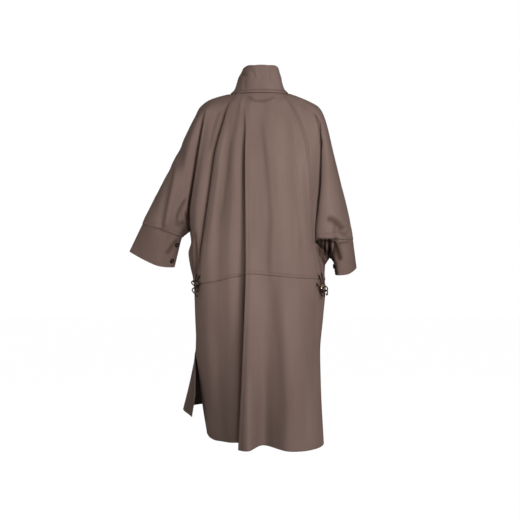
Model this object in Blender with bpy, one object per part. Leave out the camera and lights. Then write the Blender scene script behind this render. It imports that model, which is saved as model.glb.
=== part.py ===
"""Long leather coat: funnel collar, raglan batwing sleeves, deep cuffs, waist seam with side ties, side slits.

The cloth is one surface lofted through named guide lines that run from the neck seam down to the cuffs and
the hem. It is cut into its sewn pieces along the seams, and each piece gets a wall of leather.
Metres, +Z up, the front faces -Y, and the wearer's left is at +X. The origin is at the base of the neck.
"""
import bpy
import bmesh
import math
from mathutils import Matrix, Vector
from mathutils.bvhtree import BVHTree

WALL = 0.0020            # leather thickness
SEAM_GAP = 0.0003        # between two pieces at a seam
SEAT = 0.0003            # the smallest gap under and between the small pieces
ROWS_YOKE = 17           # neck seam to underarm
ROWS_SIDE = 6            # underarm to waist seam
ROWS_SKIRT = 7           # waist seam to the top of the side slits
ROWS_SLIT = 9            # slit top to hem
ROWS_SLEEVE = {"l": 3, "r": 6}   # underarm to cuff seam
ROWS_CUFF = 5
YOKE_BUNCHING = 1.6      # rows lie closer at the neck, where the shoulder slopes most
UNDERARM_MID = -0.507    # underarm height at the centre, and its rise towards the wearer's left
UNDERARM_RISE = 0.19
SLIT_TOP = -0.860
COLOUR_LEATHER = (0.175, 0.132, 0.113, 1.0)
COLOUR_HORN = (0.012, 0.009, 0.008, 1.0)
COLOUR_BRASS = (0.42, 0.27, 0.10, 1.0)
COLOUR_CORD = (0.030, 0.020, 0.013, 1.0)

# Guide lines of the yoke, sleeves and bodice, from the neck seam to the underarm or the waist seam.
# Each row is (height z, x, depth y).
BODICE = {
    "front_l": ((-0.029, -0.030, -0.078), (-0.060, -0.030, -0.104), (-0.120, -0.030, -0.125),
                (-0.205, -0.030, -0.138), (-0.300, -0.030, -0.145), (-0.400, -0.030, -0.147),
                (-0.630, -0.030, -0.146)),
    "lapel_l": ((-0.028, 0.038, -0.079), (-0.058, 0.041, -0.106), (-0.120, 0.046, -0.127),
                (-0.205, 0.050, -0.140), (-0.300, 0.053, -0.147), (-0.400, 0.055, -0.149),
                (-0.630, 0.057, -0.148)),
    "chest_l": ((-0.022, 0.060, -0.068), (-0.055, 0.074, -0.098), (-0.118, 0.088, -0.121),
                (-0.203, 0.100, -0.136), (-0.300, 0.108, -0.142), (-0.400, 0.114, -0.143),
                (-0.632, 0.120, -0.136)),
    "raglanf_l": ((-0.014, 0.077, -0.054), (-0.046, 0.101, -0.084), (-0.113, 0.119, -0.108),
                  (-0.200, 0.136, -0.121), (-0.300, 0.150, -0.125), (-0.396, 0.163, -0.122),
                  (-0.526, 0.178, -0.112), (-0.636, 0.184, -0.106)),
    "sidef_l": ((-0.009, 0.087, -0.038), (-0.035, 0.115, -0.065), (-0.067, 0.143, -0.085),
                (-0.118, 0.157, -0.098), (-0.200, 0.171, -0.104), (-0.298, 0.187, -0.101),
                (-0.395, 0.202, -0.088), (-0.467, 0.210, -0.072), (-0.526, 0.212, -0.066),
                (-0.636, 0.210, -0.062)),
    "foldf_l": ((-0.007, 0.094, -0.027), (-0.029, 0.131, -0.050), (-0.054, 0.167, -0.070),
                (-0.085, 0.182, -0.078), (-0.125, 0.188, -0.080), (-0.200, 0.200, -0.074),
                (-0.295, 0.214, -0.060), (-0.393, 0.231, -0.034), (-0.439, 0.238, -0.017),
                (-0.465, 0.236, -0.006)),
    "armf_l": ((-0.004, 0.097, -0.018), (-0.022, 0.144, -0.032), (-0.045, 0.177, -0.048),
               (-0.073, 0.198, -0.056), (-0.114, 0.213, -0.064), (-0.199, 0.236, -0.078),
               (-0.297, 0.268, -0.082), (-0.385, 0.299, -0.076), (-0.435, 0.315, -0.066)),
    "overarm_l": ((0.000, 0.099, -0.007), (-0.011, 0.148, -0.009), (-0.022, 0.175, -0.009),
                  (-0.035, 0.191, -0.009), (-0.050, 0.205, -0.008), (-0.102, 0.235, -0.008),
                  (-0.189, 0.271, -0.010), (-0.290, 0.321, -0.012), (-0.415, 0.386, -0.018)),
    "arm_l": ((-0.004, 0.096, 0.005), (-0.022, 0.143, 0.016), (-0.045, 0.176, 0.030),
              (-0.073, 0.198, 0.040), (-0.114, 0.214, 0.052), (-0.199, 0.236, 0.070),
              (-0.297, 0.268, 0.074), (-0.385, 0.299, 0.062), (-0.435, 0.316, 0.048)),
    "fold_l": ((-0.006, 0.091, 0.013), (-0.029, 0.129, 0.034), (-0.054, 0.168, 0.050),
               (-0.075, 0.182, 0.056), (-0.115, 0.189, 0.060), (-0.197, 0.202, 0.058),
               (-0.295, 0.218, 0.044), (-0.393, 0.235, 0.020), (-0.439, 0.239, 0.005),
               (-0.465, 0.236, -0.006)),
    "side_l": ((-0.006, 0.083, 0.023), (-0.035, 0.112, 0.050), (-0.067, 0.144, 0.066),
               (-0.118, 0.160, 0.077), (-0.200, 0.176, 0.084), (-0.298, 0.193, 0.082),
               (-0.395, 0.206, 0.070), (-0.467, 0.213, 0.052), (-0.526, 0.216, 0.044),
               (-0.638, 0.216, 0.036)),
    "raglan_l": ((-0.006, 0.074, 0.032), (-0.046, 0.102, 0.066), (-0.113, 0.122, 0.087),
                 (-0.202, 0.146, 0.096), (-0.299, 0.160, 0.098), (-0.396, 0.174, 0.094),
                 (-0.477, 0.186, 0.086), (-0.526, 0.194, 0.082), (-0.638, 0.203, 0.070)),
    "crest1": ((-0.006, 0.068, 0.037), (-0.048, 0.085, 0.074), (-0.117, 0.106, 0.097),
               (-0.203, 0.126, 0.110), (-0.300, 0.136, 0.115), (-0.397, 0.150, 0.113),
               (-0.478, 0.162, 0.108), (-0.634, 0.170, 0.099)),
    "trough1": ((-0.007, 0.062, 0.041), (-0.049, 0.072, 0.078), (-0.118, 0.088, 0.100),
                (-0.193, 0.103, 0.106), (-0.300, 0.115, 0.108), (-0.397, 0.126, 0.108),
                (-0.478, 0.136, 0.108), (-0.629, 0.140, 0.106)),
    "crest2": ((-0.008, 0.054, 0.046), (-0.050, 0.062, 0.084), (-0.119, 0.070, 0.110),
               (-0.205, 0.080, 0.122), (-0.302, 0.085, 0.128), (-0.398, 0.090, 0.130),
               (-0.495, 0.094, 0.132), (-0.617, 0.096, 0.130)),
    "f1root": ((-0.008, 0.047, 0.050), (-0.057, 0.052, 0.088), (-0.119, 0.056, 0.110),
               (-0.203, 0.057, 0.112), (-0.301, 0.058, 0.113), (-0.398, 0.058, 0.114),
               (-0.494, 0.058, 0.115), (-0.610, 0.058, 0.114)),
    "f1edge": ((-0.008, 0.040, 0.053), (-0.058, 0.045, 0.090), (-0.120, 0.051, 0.114),
               (-0.205, 0.054, 0.126), (-0.302, 0.054, 0.135), (-0.399, 0.053, 0.142),
               (-0.495, 0.052, 0.147), (-0.607, 0.051, 0.152)),
    "crest3": ((-0.008, 0.023, 0.058), (-0.051, 0.028, 0.091), (-0.120, 0.032, 0.118),
               (-0.206, 0.034, 0.133), (-0.303, 0.034, 0.143), (-0.399, 0.033, 0.151),
               (-0.495, 0.032, 0.156), (-0.604, 0.030, 0.161)),
    "trough2": ((-0.008, -0.003, 0.060), (-0.057, 0.002, 0.091), (-0.119, 0.000, 0.114),
                (-0.185, -0.008, 0.126), (-0.302, -0.018, 0.135), (-0.412, -0.022, 0.141),
                (-0.495, -0.018, 0.143), (-0.607, -0.014, 0.143)),
    "crest4": ((-0.008, -0.036, 0.055), (-0.057, -0.041, 0.089), (-0.120, -0.052, 0.116),
               (-0.206, -0.061, 0.132), (-0.303, -0.070, 0.143), (-0.399, -0.078, 0.151),
               (-0.495, -0.080, 0.157), (-0.613, -0.080, 0.161)),
    "trough3": ((-0.007, -0.056, 0.045), (-0.050, -0.069, 0.080), (-0.118, -0.091, 0.104),
                (-0.204, -0.101, 0.119), (-0.302, -0.113, 0.129), (-0.399, -0.124, 0.137),
                (-0.479, -0.133, 0.141), (-0.618, -0.138, 0.145)),
    "crest5": ((-0.006, -0.068, 0.037), (-0.042, -0.088, 0.070), (-0.118, -0.117, 0.098),
               (-0.203, -0.131, 0.112), (-0.301, -0.142, 0.119), (-0.398, -0.150, 0.122),
               (-0.478, -0.158, 0.122), (-0.620, -0.172, 0.120)),
    "raglan_r": ((-0.006, -0.079, 0.030), (-0.058, -0.111, 0.068), (-0.116, -0.138, 0.087),
                 (-0.202, -0.158, 0.098), (-0.299, -0.167, 0.098), (-0.397, -0.170, 0.088),
                 (-0.481, -0.176, 0.070), (-0.543, -0.192, 0.060), (-0.622, -0.206, 0.054)),
    "side_r": ((-0.007, -0.085, 0.023), (-0.046, -0.125, 0.056), (-0.084, -0.164, 0.072),
               (-0.121, -0.184, 0.074), (-0.199, -0.189, 0.068), (-0.296, -0.192, 0.056),
               (-0.394, -0.194, 0.032), (-0.480, -0.199, 0.014), (-0.549, -0.212, 0.004),
               (-0.622, -0.219, 0.018)),
    "root_r": ((-0.006, -0.089, 0.016), (-0.041, -0.139, 0.045), (-0.076, -0.179, 0.060),
               (-0.119, -0.199, 0.060), (-0.196, -0.210, 0.048), (-0.294, -0.213, 0.036),
               (-0.393, -0.214, 0.020), (-0.466, -0.219, 0.006), (-0.549, -0.236, -0.012)),
    "edge_r": ((-0.004, -0.091, 0.010), (-0.036, -0.149, 0.037), (-0.069, -0.186, 0.054),
               (-0.116, -0.201, 0.064), (-0.199, -0.201, 0.076), (-0.298, -0.199, 0.078),
               (-0.395, -0.190, 0.080), (-0.467, -0.184, 0.081), (-0.486, -0.186, 0.080)),
    "arm_r": ((-0.001, -0.093, 0.002), (-0.029, -0.157, 0.018), (-0.060, -0.194, 0.034),
              (-0.114, -0.212, 0.050), (-0.200, -0.219, 0.080), (-0.298, -0.226, 0.088),
              (-0.396, -0.234, 0.090), (-0.468, -0.244, 0.083)),
    "overarm_r": ((0.002, -0.095, -0.007), (-0.011, -0.131, -0.009), (-0.021, -0.155, -0.009),
                  (-0.032, -0.178, -0.009), (-0.043, -0.195, -0.008), (-0.062, -0.208, -0.008),
                  (-0.102, -0.222, -0.008), (-0.189, -0.243, -0.010), (-0.290, -0.268, -0.014),
                  (-0.390, -0.292, -0.020), (-0.454, -0.307, -0.022)),
    "armf_r": ((-0.002, -0.093, -0.018), (-0.029, -0.155, -0.038), (-0.060, -0.190, -0.054),
               (-0.114, -0.207, -0.068), (-0.200, -0.216, -0.096), (-0.298, -0.224, -0.104),
               (-0.396, -0.234, -0.104), (-0.468, -0.244, -0.100)),
    "foldf_r": ((-0.007, -0.090, -0.027), (-0.036, -0.145, -0.058), (-0.069, -0.176, -0.076),
                (-0.116, -0.190, -0.084), (-0.200, -0.199, -0.084), (-0.298, -0.203, -0.076),
                (-0.395, -0.208, -0.064), (-0.467, -0.216, -0.052), (-0.549, -0.236, -0.012)),
    "sidef_r": ((-0.009, -0.084, -0.038), (-0.035, -0.118, -0.066), (-0.067, -0.149, -0.086),
                (-0.118, -0.164, -0.099), (-0.200, -0.174, -0.106), (-0.298, -0.184, -0.104),
                (-0.395, -0.192, -0.094), (-0.467, -0.198, -0.082), (-0.549, -0.204, -0.072),
                (-0.636, -0.208, -0.066)),
}
# Guide lines of the skirt below the waist seam, to the slit top and the hem.
SKIRT = {
    "front_l": ((-0.860, -0.030, -0.157), (-0.960, -0.030, -0.174), (-1.064, -0.030, -0.194)),
    "lapel_l": ((-0.860, 0.058, -0.160), (-0.960, 0.060, -0.177), (-1.065, 0.061, -0.198)),
    "chest_l": ((-0.860, 0.121, -0.140), (-0.960, 0.124, -0.166), (-1.067, 0.130, -0.206)),
    "raglanf_l": ((-0.860, 0.184, -0.112), (-0.960, 0.198, -0.142), (-1.071, 0.218, -0.196)),
    "sidef_l": ((-0.730, 0.212, -0.058), (-0.860, 0.217, -0.060), (-0.945, 0.233, -0.084),
                (-1.076, 0.266, -0.146)),
    "fold_l": ((-0.730, 0.217, -0.010), (-0.860, 0.215, -0.012), (-0.892, 0.212, -0.012),
               (-0.937, 0.208, -0.020), (-1.047, 0.196, -0.040), (-1.150, 0.181, -0.058)),
    "foldf_l": ((-0.730, 0.217, -0.010), (-0.860, 0.215, -0.012), (-0.884, 0.220, -0.015), (-0.934, 0.217, 0.000),
                (-0.998, 0.217, 0.018), (-1.079, 0.227, 0.034)),
    "side_l": ((-0.730, 0.215, 0.030), (-0.860, 0.209, 0.011), (-1.000, 0.196, -0.012),
               (-1.152, 0.177, -0.040)),
    "raglan_l": ((-0.730, 0.202, 0.058), (-0.860, 0.196, 0.038), (-1.000, 0.184, 0.012),
                 (-1.156, 0.170, -0.018)),
    "crest1": ((-0.860, 0.170, 0.070), (-1.000, 0.161, 0.044), (-1.160, 0.151, 0.014)),
    "trough1": ((-0.860, 0.140, 0.084), (-1.000, 0.134, 0.064), (-1.158, 0.127, 0.046)),
    "crest2": ((-0.860, 0.100, 0.104), (-1.000, 0.101, 0.086), (-1.158, 0.099, 0.070)),
    "f1root": ((-0.860, 0.057, 0.108), (-1.000, 0.060, 0.102), (-1.159, 0.066, 0.098)),
    "f1edge": ((-0.860, 0.058, 0.161), (-1.000, 0.063, 0.164), (-1.162, 0.070, 0.164)),
    "crest3": ((-0.860, 0.036, 0.178), (-1.000, 0.037, 0.186), (-1.162, 0.038, 0.193)),
    "trough2": ((-0.860, -0.016, 0.144), (-1.000, -0.015, 0.134), (-1.156, -0.012, 0.124)),
    "crest4": ((-0.860, -0.087, 0.173), (-1.000, -0.090, 0.181), (-1.160, -0.092, 0.187)),
    "trough3": ((-0.860, -0.134, 0.160), (-1.000, -0.136, 0.169), (-1.162, -0.138, 0.176)),
    "crest5": ((-0.860, -0.163, 0.132), (-1.000, -0.168, 0.140), (-1.162, -0.174, 0.146)),
    "raglan_r": ((-0.740, -0.200, 0.066), (-0.860, -0.190, 0.080), (-1.000, -0.192, 0.098),
                 (-1.161, -0.198, 0.108)),
    "side_r": ((-0.740, -0.209, 0.038), (-0.860, -0.198, 0.052), (-1.000, -0.199, 0.078),
               (-1.160, -0.206, 0.092)),
    "root_r": ((-0.740, -0.212, -0.006), (-0.860, -0.200, -0.002), (-1.000, -0.202, 0.050),
               (-1.159, -0.209, 0.078)),
    "foldf_r": ((-0.740, -0.212, -0.006), (-0.860, -0.200, -0.002), (-0.960, -0.194, -0.012),
                (-1.070, -0.190, -0.020)),
    "sidef_r": ((-0.740, -0.205, -0.062), (-0.860, -0.198, -0.064), (-0.960, -0.196, -0.078),
                (-1.070, -0.197, -0.098)),
    "raglanf_r": ((-0.860, -0.180, -0.112), (-0.960, -0.180, -0.130), (-1.068, -0.183, -0.152)),
    "chest_r": ((-0.860, -0.121, -0.142), (-0.960, -0.124, -0.162), (-1.066, -0.128, -0.188)),
}
# The side seams below the underarm, at the waist seam.
SIDE_SEAM = {"l": ((-0.500, 0.231, -0.008), (-0.530, 0.233, -0.008), (-0.570, 0.230, -0.008),
                   (-0.637, 0.222, -0.008)),
             "r": ((-0.580, -0.226, -0.012), (-0.628, -0.222, -0.012))}
# Cuff seam and cuff hem rings.
CUFF_SEAM = {
    "foldf_l": (-0.484, 0.2635, -0.018), "armf_l": (-0.460, 0.322, -0.061), "overarm_l": (-0.438, 0.396, -0.018),
    "arm_l": (-0.460, 0.324, 0.034), "fold_l": (-0.484, 0.2635, -0.018),
    "foldf_r": (-0.548, -0.2490, -0.018), "armf_r": (-0.498, -0.264, -0.092), "overarm_r": (-0.491, -0.3125, -0.024),
    "arm_r": (-0.492, -0.283, 0.058), "edge_r": (-0.493, -0.254, 0.054), "root_r": (-0.548, -0.2490, -0.018),
}
CUFF_HEM = {
    "foldf_l": (-0.580, 0.287, -0.024), "armf_l": (-0.565, 0.352, -0.066), "overarm_l": (-0.526, 0.440, -0.026),
    "arm_l": (-0.570, 0.356, 0.024), "fold_l": (-0.580, 0.287, -0.024),
    "foldf_r": (-0.592, -0.249, -0.030), "armf_r": (-0.600, -0.272, -0.100), "overarm_r": (-0.584, -0.3265, -0.034),
    "arm_r": (-0.606, -0.292, 0.044), "edge_r": (-0.606, -0.262, 0.036), "root_r": (-0.592, -0.249, -0.030),
}
# Collar rings above the neck seam: height at the back, width and depth against the neck seam, sideways shift.
COLLAR = ((0.018, 0.865, 0.93, 0.000), (0.042, 0.790, 0.88, 0.000), (0.062, 0.745, 0.86, -0.001),
          (0.080, 0.670, 0.84, -0.003), (0.094, 0.625, 0.82, -0.004))
NECK_CENTRE_Y = -0.010
COLLAR_BACK = (0.060, -0.008)   # depth y and height of the neck seam at the back
COLLAR_TILT = 0.17              # the collar's top edge is level across and falls this much towards the front

# Each stretch of the section from one guide to the next, and the number of columns in it.
STRETCHES = (
    ("front_l", "lapel_l", 3), ("lapel_l", "chest_l", 2), ("chest_l", "raglanf_l", 2),
    ("raglanf_l", "sidef_l", 2), ("sidef_l", "foldf_l", 1), ("foldf_l", "armf_l", 3),
    ("armf_l", "overarm_l", 3), ("overarm_l", "arm_l", 3), ("arm_l", "fold_l", 3), ("fold_l", "side_l", 1),
    ("side_l", "raglan_l", 1), ("raglan_l", "crest1", 1), ("crest1", "trough1", 1), ("trough1", "crest2", 2),
    ("crest2", "f1root", 1), ("f1root", "f1edge", 2), ("f1edge", "crest3", 2), ("crest3", "trough2", 3),
    ("trough2", "crest4", 3), ("crest4", "trough3", 2), ("trough3", "crest5", 1), ("crest5", "raglan_r", 2),
    ("raglan_r", "side_r", 1), ("side_r", "root_r", 1), ("root_r", "edge_r", 2), ("edge_r", "arm_r", 1),
    ("arm_r", "overarm_r", 3), ("overarm_r", "armf_r", 3), ("armf_r", "foldf_r", 3),
    ("foldf_r", "sidef_r", 1), ("sidef_r", "raglanf_r", 2), ("raglanf_r", "chest_r", 2),
    ("chest_r", "lapel_r", 2), ("lapel_r", "front_r", 3),
)
ORDER = [s[0] for s in STRETCHES] + ["front_r"]
COLUMNS = {(a, b): n for a, b, n in STRETCHES}
CREASES = ("foldf_l", "fold_l", "root_r", "foldf_r")    # where a sleeve folds against the body
CREASE_FROM, CREASE_TO = 0.15, 0.50    # share of the yoke over which the fold sharpens
LAP = 0.007      # the right front lies this far over the left one


def mirrored(rows, lift):
    """The same guide on the other side, lifted off the front by the lap."""
    return tuple((z, -x, y - lift) for z, x, y in rows)


for source, name, lift in (("raglanf_l", "raglanf_r", 0.0), ("chest_l", "chest_r", 0.001),
                           ("lapel_l", "lapel_r", 0.004), ("front_l", "front_r", LAP)):
    BODICE[name] = mirrored(BODICE[source], lift)
    if name not in SKIRT:
        SKIRT[name] = mirrored(SKIRT[source], lift)


def along(rows, z):
    """x and y of a guide at height z: a cubic through its rows that doesn't overshoot."""
    if z >= rows[0][0]:
        return rows[0][1:]
    for k in range(len(rows) - 1):
        if z >= rows[k + 1][0]:
            break
    z0, z1 = rows[k][0], rows[k + 1][0]
    t = min(1.0, (z - z0) / (z1 - z0))
    out = []
    for axis in (1, 2):
        rise = (rows[k + 1][axis] - rows[k][axis]) / (z1 - z0)
        ends = []
        for j in (k, k + 1):
            if 0 < j < len(rows) - 1:
                before = (rows[j][axis] - rows[j - 1][axis]) / (rows[j][0] - rows[j - 1][0])
                after = (rows[j + 1][axis] - rows[j][axis]) / (rows[j + 1][0] - rows[j][0])
                ends.append(0.0 if before * after <= 0 else 2 * before * after / (before + after))
            else:
                ends.append(rise)
        h = z1 - z0
        out.append((2 * t**3 - 3 * t**2 + 1) * rows[k][axis] + (t**3 - 2 * t**2 + t) * h * ends[0]
                   + (3 * t**2 - 2 * t**3) * rows[k + 1][axis] + (t**3 - t**2) * h * ends[1])
    return out


def at(rows, z):
    x, y = along(rows, z)
    return Vector((x, y, z))


def curve_through(points, counts, closed=False):
    """Points on a centripetal Catmull-Rom curve, counts[k] steps from point k to the next."""
    size = len(points)

    def point(k):
        if closed:
            return points[k % size]
        if k < 0:
            return points[0] * 2 - points[1]
        return points[k] if k < size else points[-1] * 2 - points[-2]

    stretches = []
    for k in range(size if closed else size - 1):
        p0, p1, p2, p3 = (point(k + j) for j in (-1, 0, 1, 2))
        d = [max(1e-6, (b - a).length ** 0.5) for a, b in ((p0, p1), (p1, p2), (p2, p3))]
        out_slope = ((p1 - p0) / d[0] - (p2 - p0) / (d[0] + d[1]) + (p2 - p1) / d[1]) * d[1]
        in_slope = ((p2 - p1) / d[1] - (p3 - p1) / (d[1] + d[2]) + (p3 - p2) / d[2]) * d[1]
        steps = counts[k]
        stretches.append([
            (2 * t**3 - 3 * t**2 + 1) * p1 + (t**3 - 2 * t**2 + t) * out_slope
            + (3 * t**2 - 2 * t**3) * p2 + (t**3 - t**2) * in_slope
            for t in (j / steps for j in range(steps + 1))])
    return stretches


def section(points, names, creases=(), crease=0.0):
    """The stretches of one section, by name, through the guides' points. At the creases the curve turns
    as sharply as the share of crease says."""
    pairs = list(zip(names, names[1:]))
    counts = [COLUMNS[pair] for pair in pairs]
    smooth = curve_through(points, counts)
    if crease == 0.0:
        return dict(zip(pairs, smooth))
    creased, start = [], 0
    for k, name in enumerate(names):
        if name in creases or k == len(names) - 1:
            creased += curve_through(points[start:k + 1], counts[start:k])
            start = k
    return {pair: [p.lerp(q, crease) for p, q in zip(*runs)]
            for pair, *runs in zip(pairs, smooth, creased)}


SLEEVE = {"l": ["foldf_l", "armf_l", "overarm_l", "arm_l", "fold_l"],
          "r": ["root_r", "edge_r", "arm_r", "overarm_r", "armf_r", "foldf_r"]}
TORSO = [n for n in ORDER if n not in ("armf_l", "overarm_l", "arm_l", "edge_r", "arm_r", "overarm_r", "armf_r")]
CUT_L, CUT_R = TORSO.index("fold_l"), TORSO.index("foldf_r")
FRONTS_L, BACK, FRONTS_R = TORSO[:CUT_L], TORSO[CUT_L:CUT_R], TORSO[CUT_R:]


def underarm(rows):
    """Height of the underarm row on a guide that goes on to the waist."""
    x = along(rows, UNDERARM_MID)[0]
    return UNDERARM_MID + UNDERARM_RISE * x


def yoke_sections():
    """Sections from the neck seam to the underarm, both sleeves in one ring with the body."""
    sections = []
    for row in range(ROWS_YOKE + 1):
        share = (row / ROWS_YOKE) ** YOKE_BUNCHING
        points = []
        for name in ORDER:
            rows = BODICE[name]
            ends_here = name[:-2] in ("overarm", "arm", "armf", "fold", "foldf", "root", "edge")
            last = rows[-1][0] if ends_here else underarm(rows)
            points.append(at(rows, rows[0][0] + (last - rows[0][0]) * share))
        crease = min(1.0, max(0.0, (share - CREASE_FROM) / (CREASE_TO - CREASE_FROM)))
        sections.append(section(points, ORDER, CREASES, crease))
    return sections


def lower_guides():
    """One table for each guide from the underarm to the hem, and its height at the waist seam."""
    tables, waists = {}, {}
    for name in TORSO:
        if name in ("fold_l", "foldf_l", "root_r", "foldf_r"):
            rows = (BODICE[name][-1],) + SIDE_SEAM[name[-1]]
        else:
            rows = BODICE[name]
        waists[name] = rows[-1][0]
        tables[name] = rows + SKIRT[name]
    return tables, waists


def lower_sections():
    """Sections of the body below the underarm: the first list is closed at the sides, the second is slit."""
    tables, waists = lower_guides()
    closed, slit = [], []
    for row in range(1, ROWS_SIDE + ROWS_SKIRT + ROWS_SLIT + 1):
        points = {}
        for name in TORSO:
            rows = tables[name]
            start = BODICE[name][-1][0] if "fold" in name or "root" in name else underarm(rows)
            if row <= ROWS_SIDE:
                z = start + (waists[name] - start) * row / ROWS_SIDE
            elif row <= ROWS_SIDE + ROWS_SKIRT:
                z = waists[name] + (SLIT_TOP - waists[name]) * (row - ROWS_SIDE) / ROWS_SKIRT
            else:
                z = SLIT_TOP + (rows[-1][0] - SLIT_TOP) * (row - ROWS_SIDE - ROWS_SKIRT) / ROWS_SLIT
            points[name] = at(rows, z)
        groups = (FRONTS_L, BACK, FRONTS_R)
        if row <= ROWS_SIDE + ROWS_SKIRT:
            # one smooth ring, with each side seam's two guides in one place
            ring = FRONTS_L + BACK[1:-1] + FRONTS_R
            counts = []
            for a, b in zip(ring, ring[1:]):
                a2 = {"foldf_l": "fold_l"}.get(a, a) if (a, b) not in COLUMNS else a
                b2 = {"foldf_r": "root_r"}.get(b, b) if (a2, b) not in COLUMNS else b
                counts.append(COLUMNS[(a2, b2)])
            runs = curve_through([points[n] for n in ring], counts)
            names = [pair for group in groups for pair in zip(group, group[1:])]
            closed.append(dict(zip(names, runs)))
        if row >= ROWS_SIDE + ROWS_SKIRT:
            loose = {}
            for group in groups:
                loose.update(section([points[n] for n in group], group))
            slit.append(loose)
    slit[0] = closed[-1]
    return closed, slit


def ring_of(table, side):
    """A closed ring through the cuff's points, as stretches by name."""
    names = SLEEVE[side]
    points = [Vector((table[n][1], table[n][2], table[n][0])) for n in names[:-1]]
    pairs = list(zip(names, names[1:]))
    return dict(zip(pairs, curve_through(points, [COLUMNS[p] for p in pairs], closed=True)))


def blend_sections(top, bottom, rows, names):
    """Sections between two given ones."""
    out = []
    for row in range(rows + 1):
        t = row / rows
        out.append({p: [a.lerp(b, t) for a, b in zip(top[p], bottom[p])] for p in zip(names, names[1:])})
    return out


def collar_sections(neck):
    """Rings of the stand collar, the neck seam drawn in and raised."""
    out = [neck]
    for height, width, depth, shift in COLLAR:
        ring = {}
        for pair, points in neck.items():
            ring[pair] = []
            for p in points:
                level = COLLAR_BACK[1] - COLLAR_TILT * (COLLAR_BACK[0] - p.y)
                ring[pair].append(Vector((p.x * width + shift,
                                          NECK_CENTRE_Y + (p.y - NECK_CENTRE_Y) * depth,
                                          p.z + (level - p.z) * height / COLLAR[-1][0] + height)))
        out.append(ring)
    return out


PIECES = ["collar", "back_bodice", "back_skirt", "sleeve_back_l", "sleeve_front_l", "sleeve_back_r",
          "sleeve_front_r", "front_bodice_l", "front_bodice_r", "front_skirt_l", "front_skirt_r",
          "cuff_l", "cuff_r"]


def piece_of(pair, zone):
    """The sewn piece that a stretch belongs to, in the yoke, side, sleeve or skirt zone."""
    a = ORDER.index(pair[0])

    def within(first, last):
        return ORDER.index(first) <= a < ORDER.index(last)

    if zone == "skirt":
        if within("fold_l", "root_r"):
            return "back_skirt"
        return "front_skirt_l" if a < ORDER.index("fold_l") else "front_skirt_r"
    if pair == ("root_r", "edge_r") and zone == "sleeve":
        return "sleeve_front_r"
    for first, last, piece in (
            ("front_l", "raglanf_l", "front_bodice_l"), ("raglanf_l", "overarm_l", "sleeve_front_l"),
            ("overarm_l", "raglan_l", "sleeve_back_l"), ("raglan_l", "raglan_r", "back_bodice"),
            ("raglan_r", "overarm_r", "sleeve_back_r"), ("overarm_r", "raglanf_r", "sleeve_front_r"),
            ("raglanf_r", "front_r", "front_bodice_r")):
        if within(first, last):
            return piece
    return None


def coat_surface():
    """The whole outer surface as one triangle mesh, each face marked with its piece."""
    bm = bmesh.new()

    def skin(upper, lower, pairs, piece_for):
        for pair in pairs:
            top, bottom = upper[pair], lower[pair]
            for k in range(len(top) - 1):
                corners = [top[k], bottom[k], bottom[k + 1], top[k + 1]]
                face = bm.faces.new([bm.verts.new(c) for c in corners])
                face.material_index = PIECES.index(piece_for(pair))

    yoke = yoke_sections()
    closed, slit = lower_sections()
    every = list(zip(ORDER, ORDER[1:]))
    torso_pairs = [p for g in (FRONTS_L, BACK, FRONTS_R) for p in zip(g, g[1:])]
    for upper, lower in zip(yoke, yoke[1:]):
        skin(upper, lower, every, lambda p: piece_of(p, "yoke"))
    rings = [yoke[-1]] + closed
    for row, (upper, lower) in enumerate(zip(rings, rings[1:])):
        zone = "side" if row < ROWS_SIDE else "skirt"
        skin(upper, lower, torso_pairs, lambda p: piece_of(p, zone))
    for upper, lower in zip(slit, slit[1:]):
        skin(upper, lower, torso_pairs, lambda p: piece_of(p, "skirt"))
    collar = collar_sections(yoke[0])
    for lower, upper in zip(collar, collar[1:]):
        skin(upper, lower, every, lambda p: "collar")
    for side in "lr":
        names = SLEEVE[side]
        pairs = list(zip(names, names[1:]))
        seam, hem = ring_of(CUFF_SEAM, side), ring_of(CUFF_HEM, side)
        tube = blend_sections(yoke[-1], seam, ROWS_SLEEVE[side], names)
        for upper, lower in zip(tube, tube[1:]):
            skin(upper, lower, pairs, lambda p: piece_of(p, "sleeve"))
        cuff = blend_sections(seam, hem, ROWS_CUFF, names)
        for upper, lower in zip(cuff, cuff[1:]):
            skin(upper, lower, pairs, lambda p: "cuff_" + side)
    bmesh.ops.remove_doubles(bm, verts=bm.verts, dist=0.00002)
    bmesh.ops.recalc_face_normals(bm, faces=bm.faces)
    forks = []
    for name in ("fold_l", "root_r"):
        z, x, y = BODICE[name][-1]
        crotch = Vector((x, y, z))
        forks.append(min(bm.verts, key=lambda v: (v.co - crotch).length))
    bmesh.ops.triangulate(bm, faces=bm.faces, quad_method="SHORT_EDGE")
    bm.normal_update()
    for v in forks:
        v.normal = (0.0, 0.0, -1.0)
    bm.verts.index_update()
    return bm


def inward(face, edge):
    """Direction in the face's plane, square to the edge and into the face."""
    a, b = (v.co for v in edge.verts)
    out = face.normal.cross(b - a).normalized()
    return out if out.dot(face.calc_center_median() - a) > 0 else -out


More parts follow.
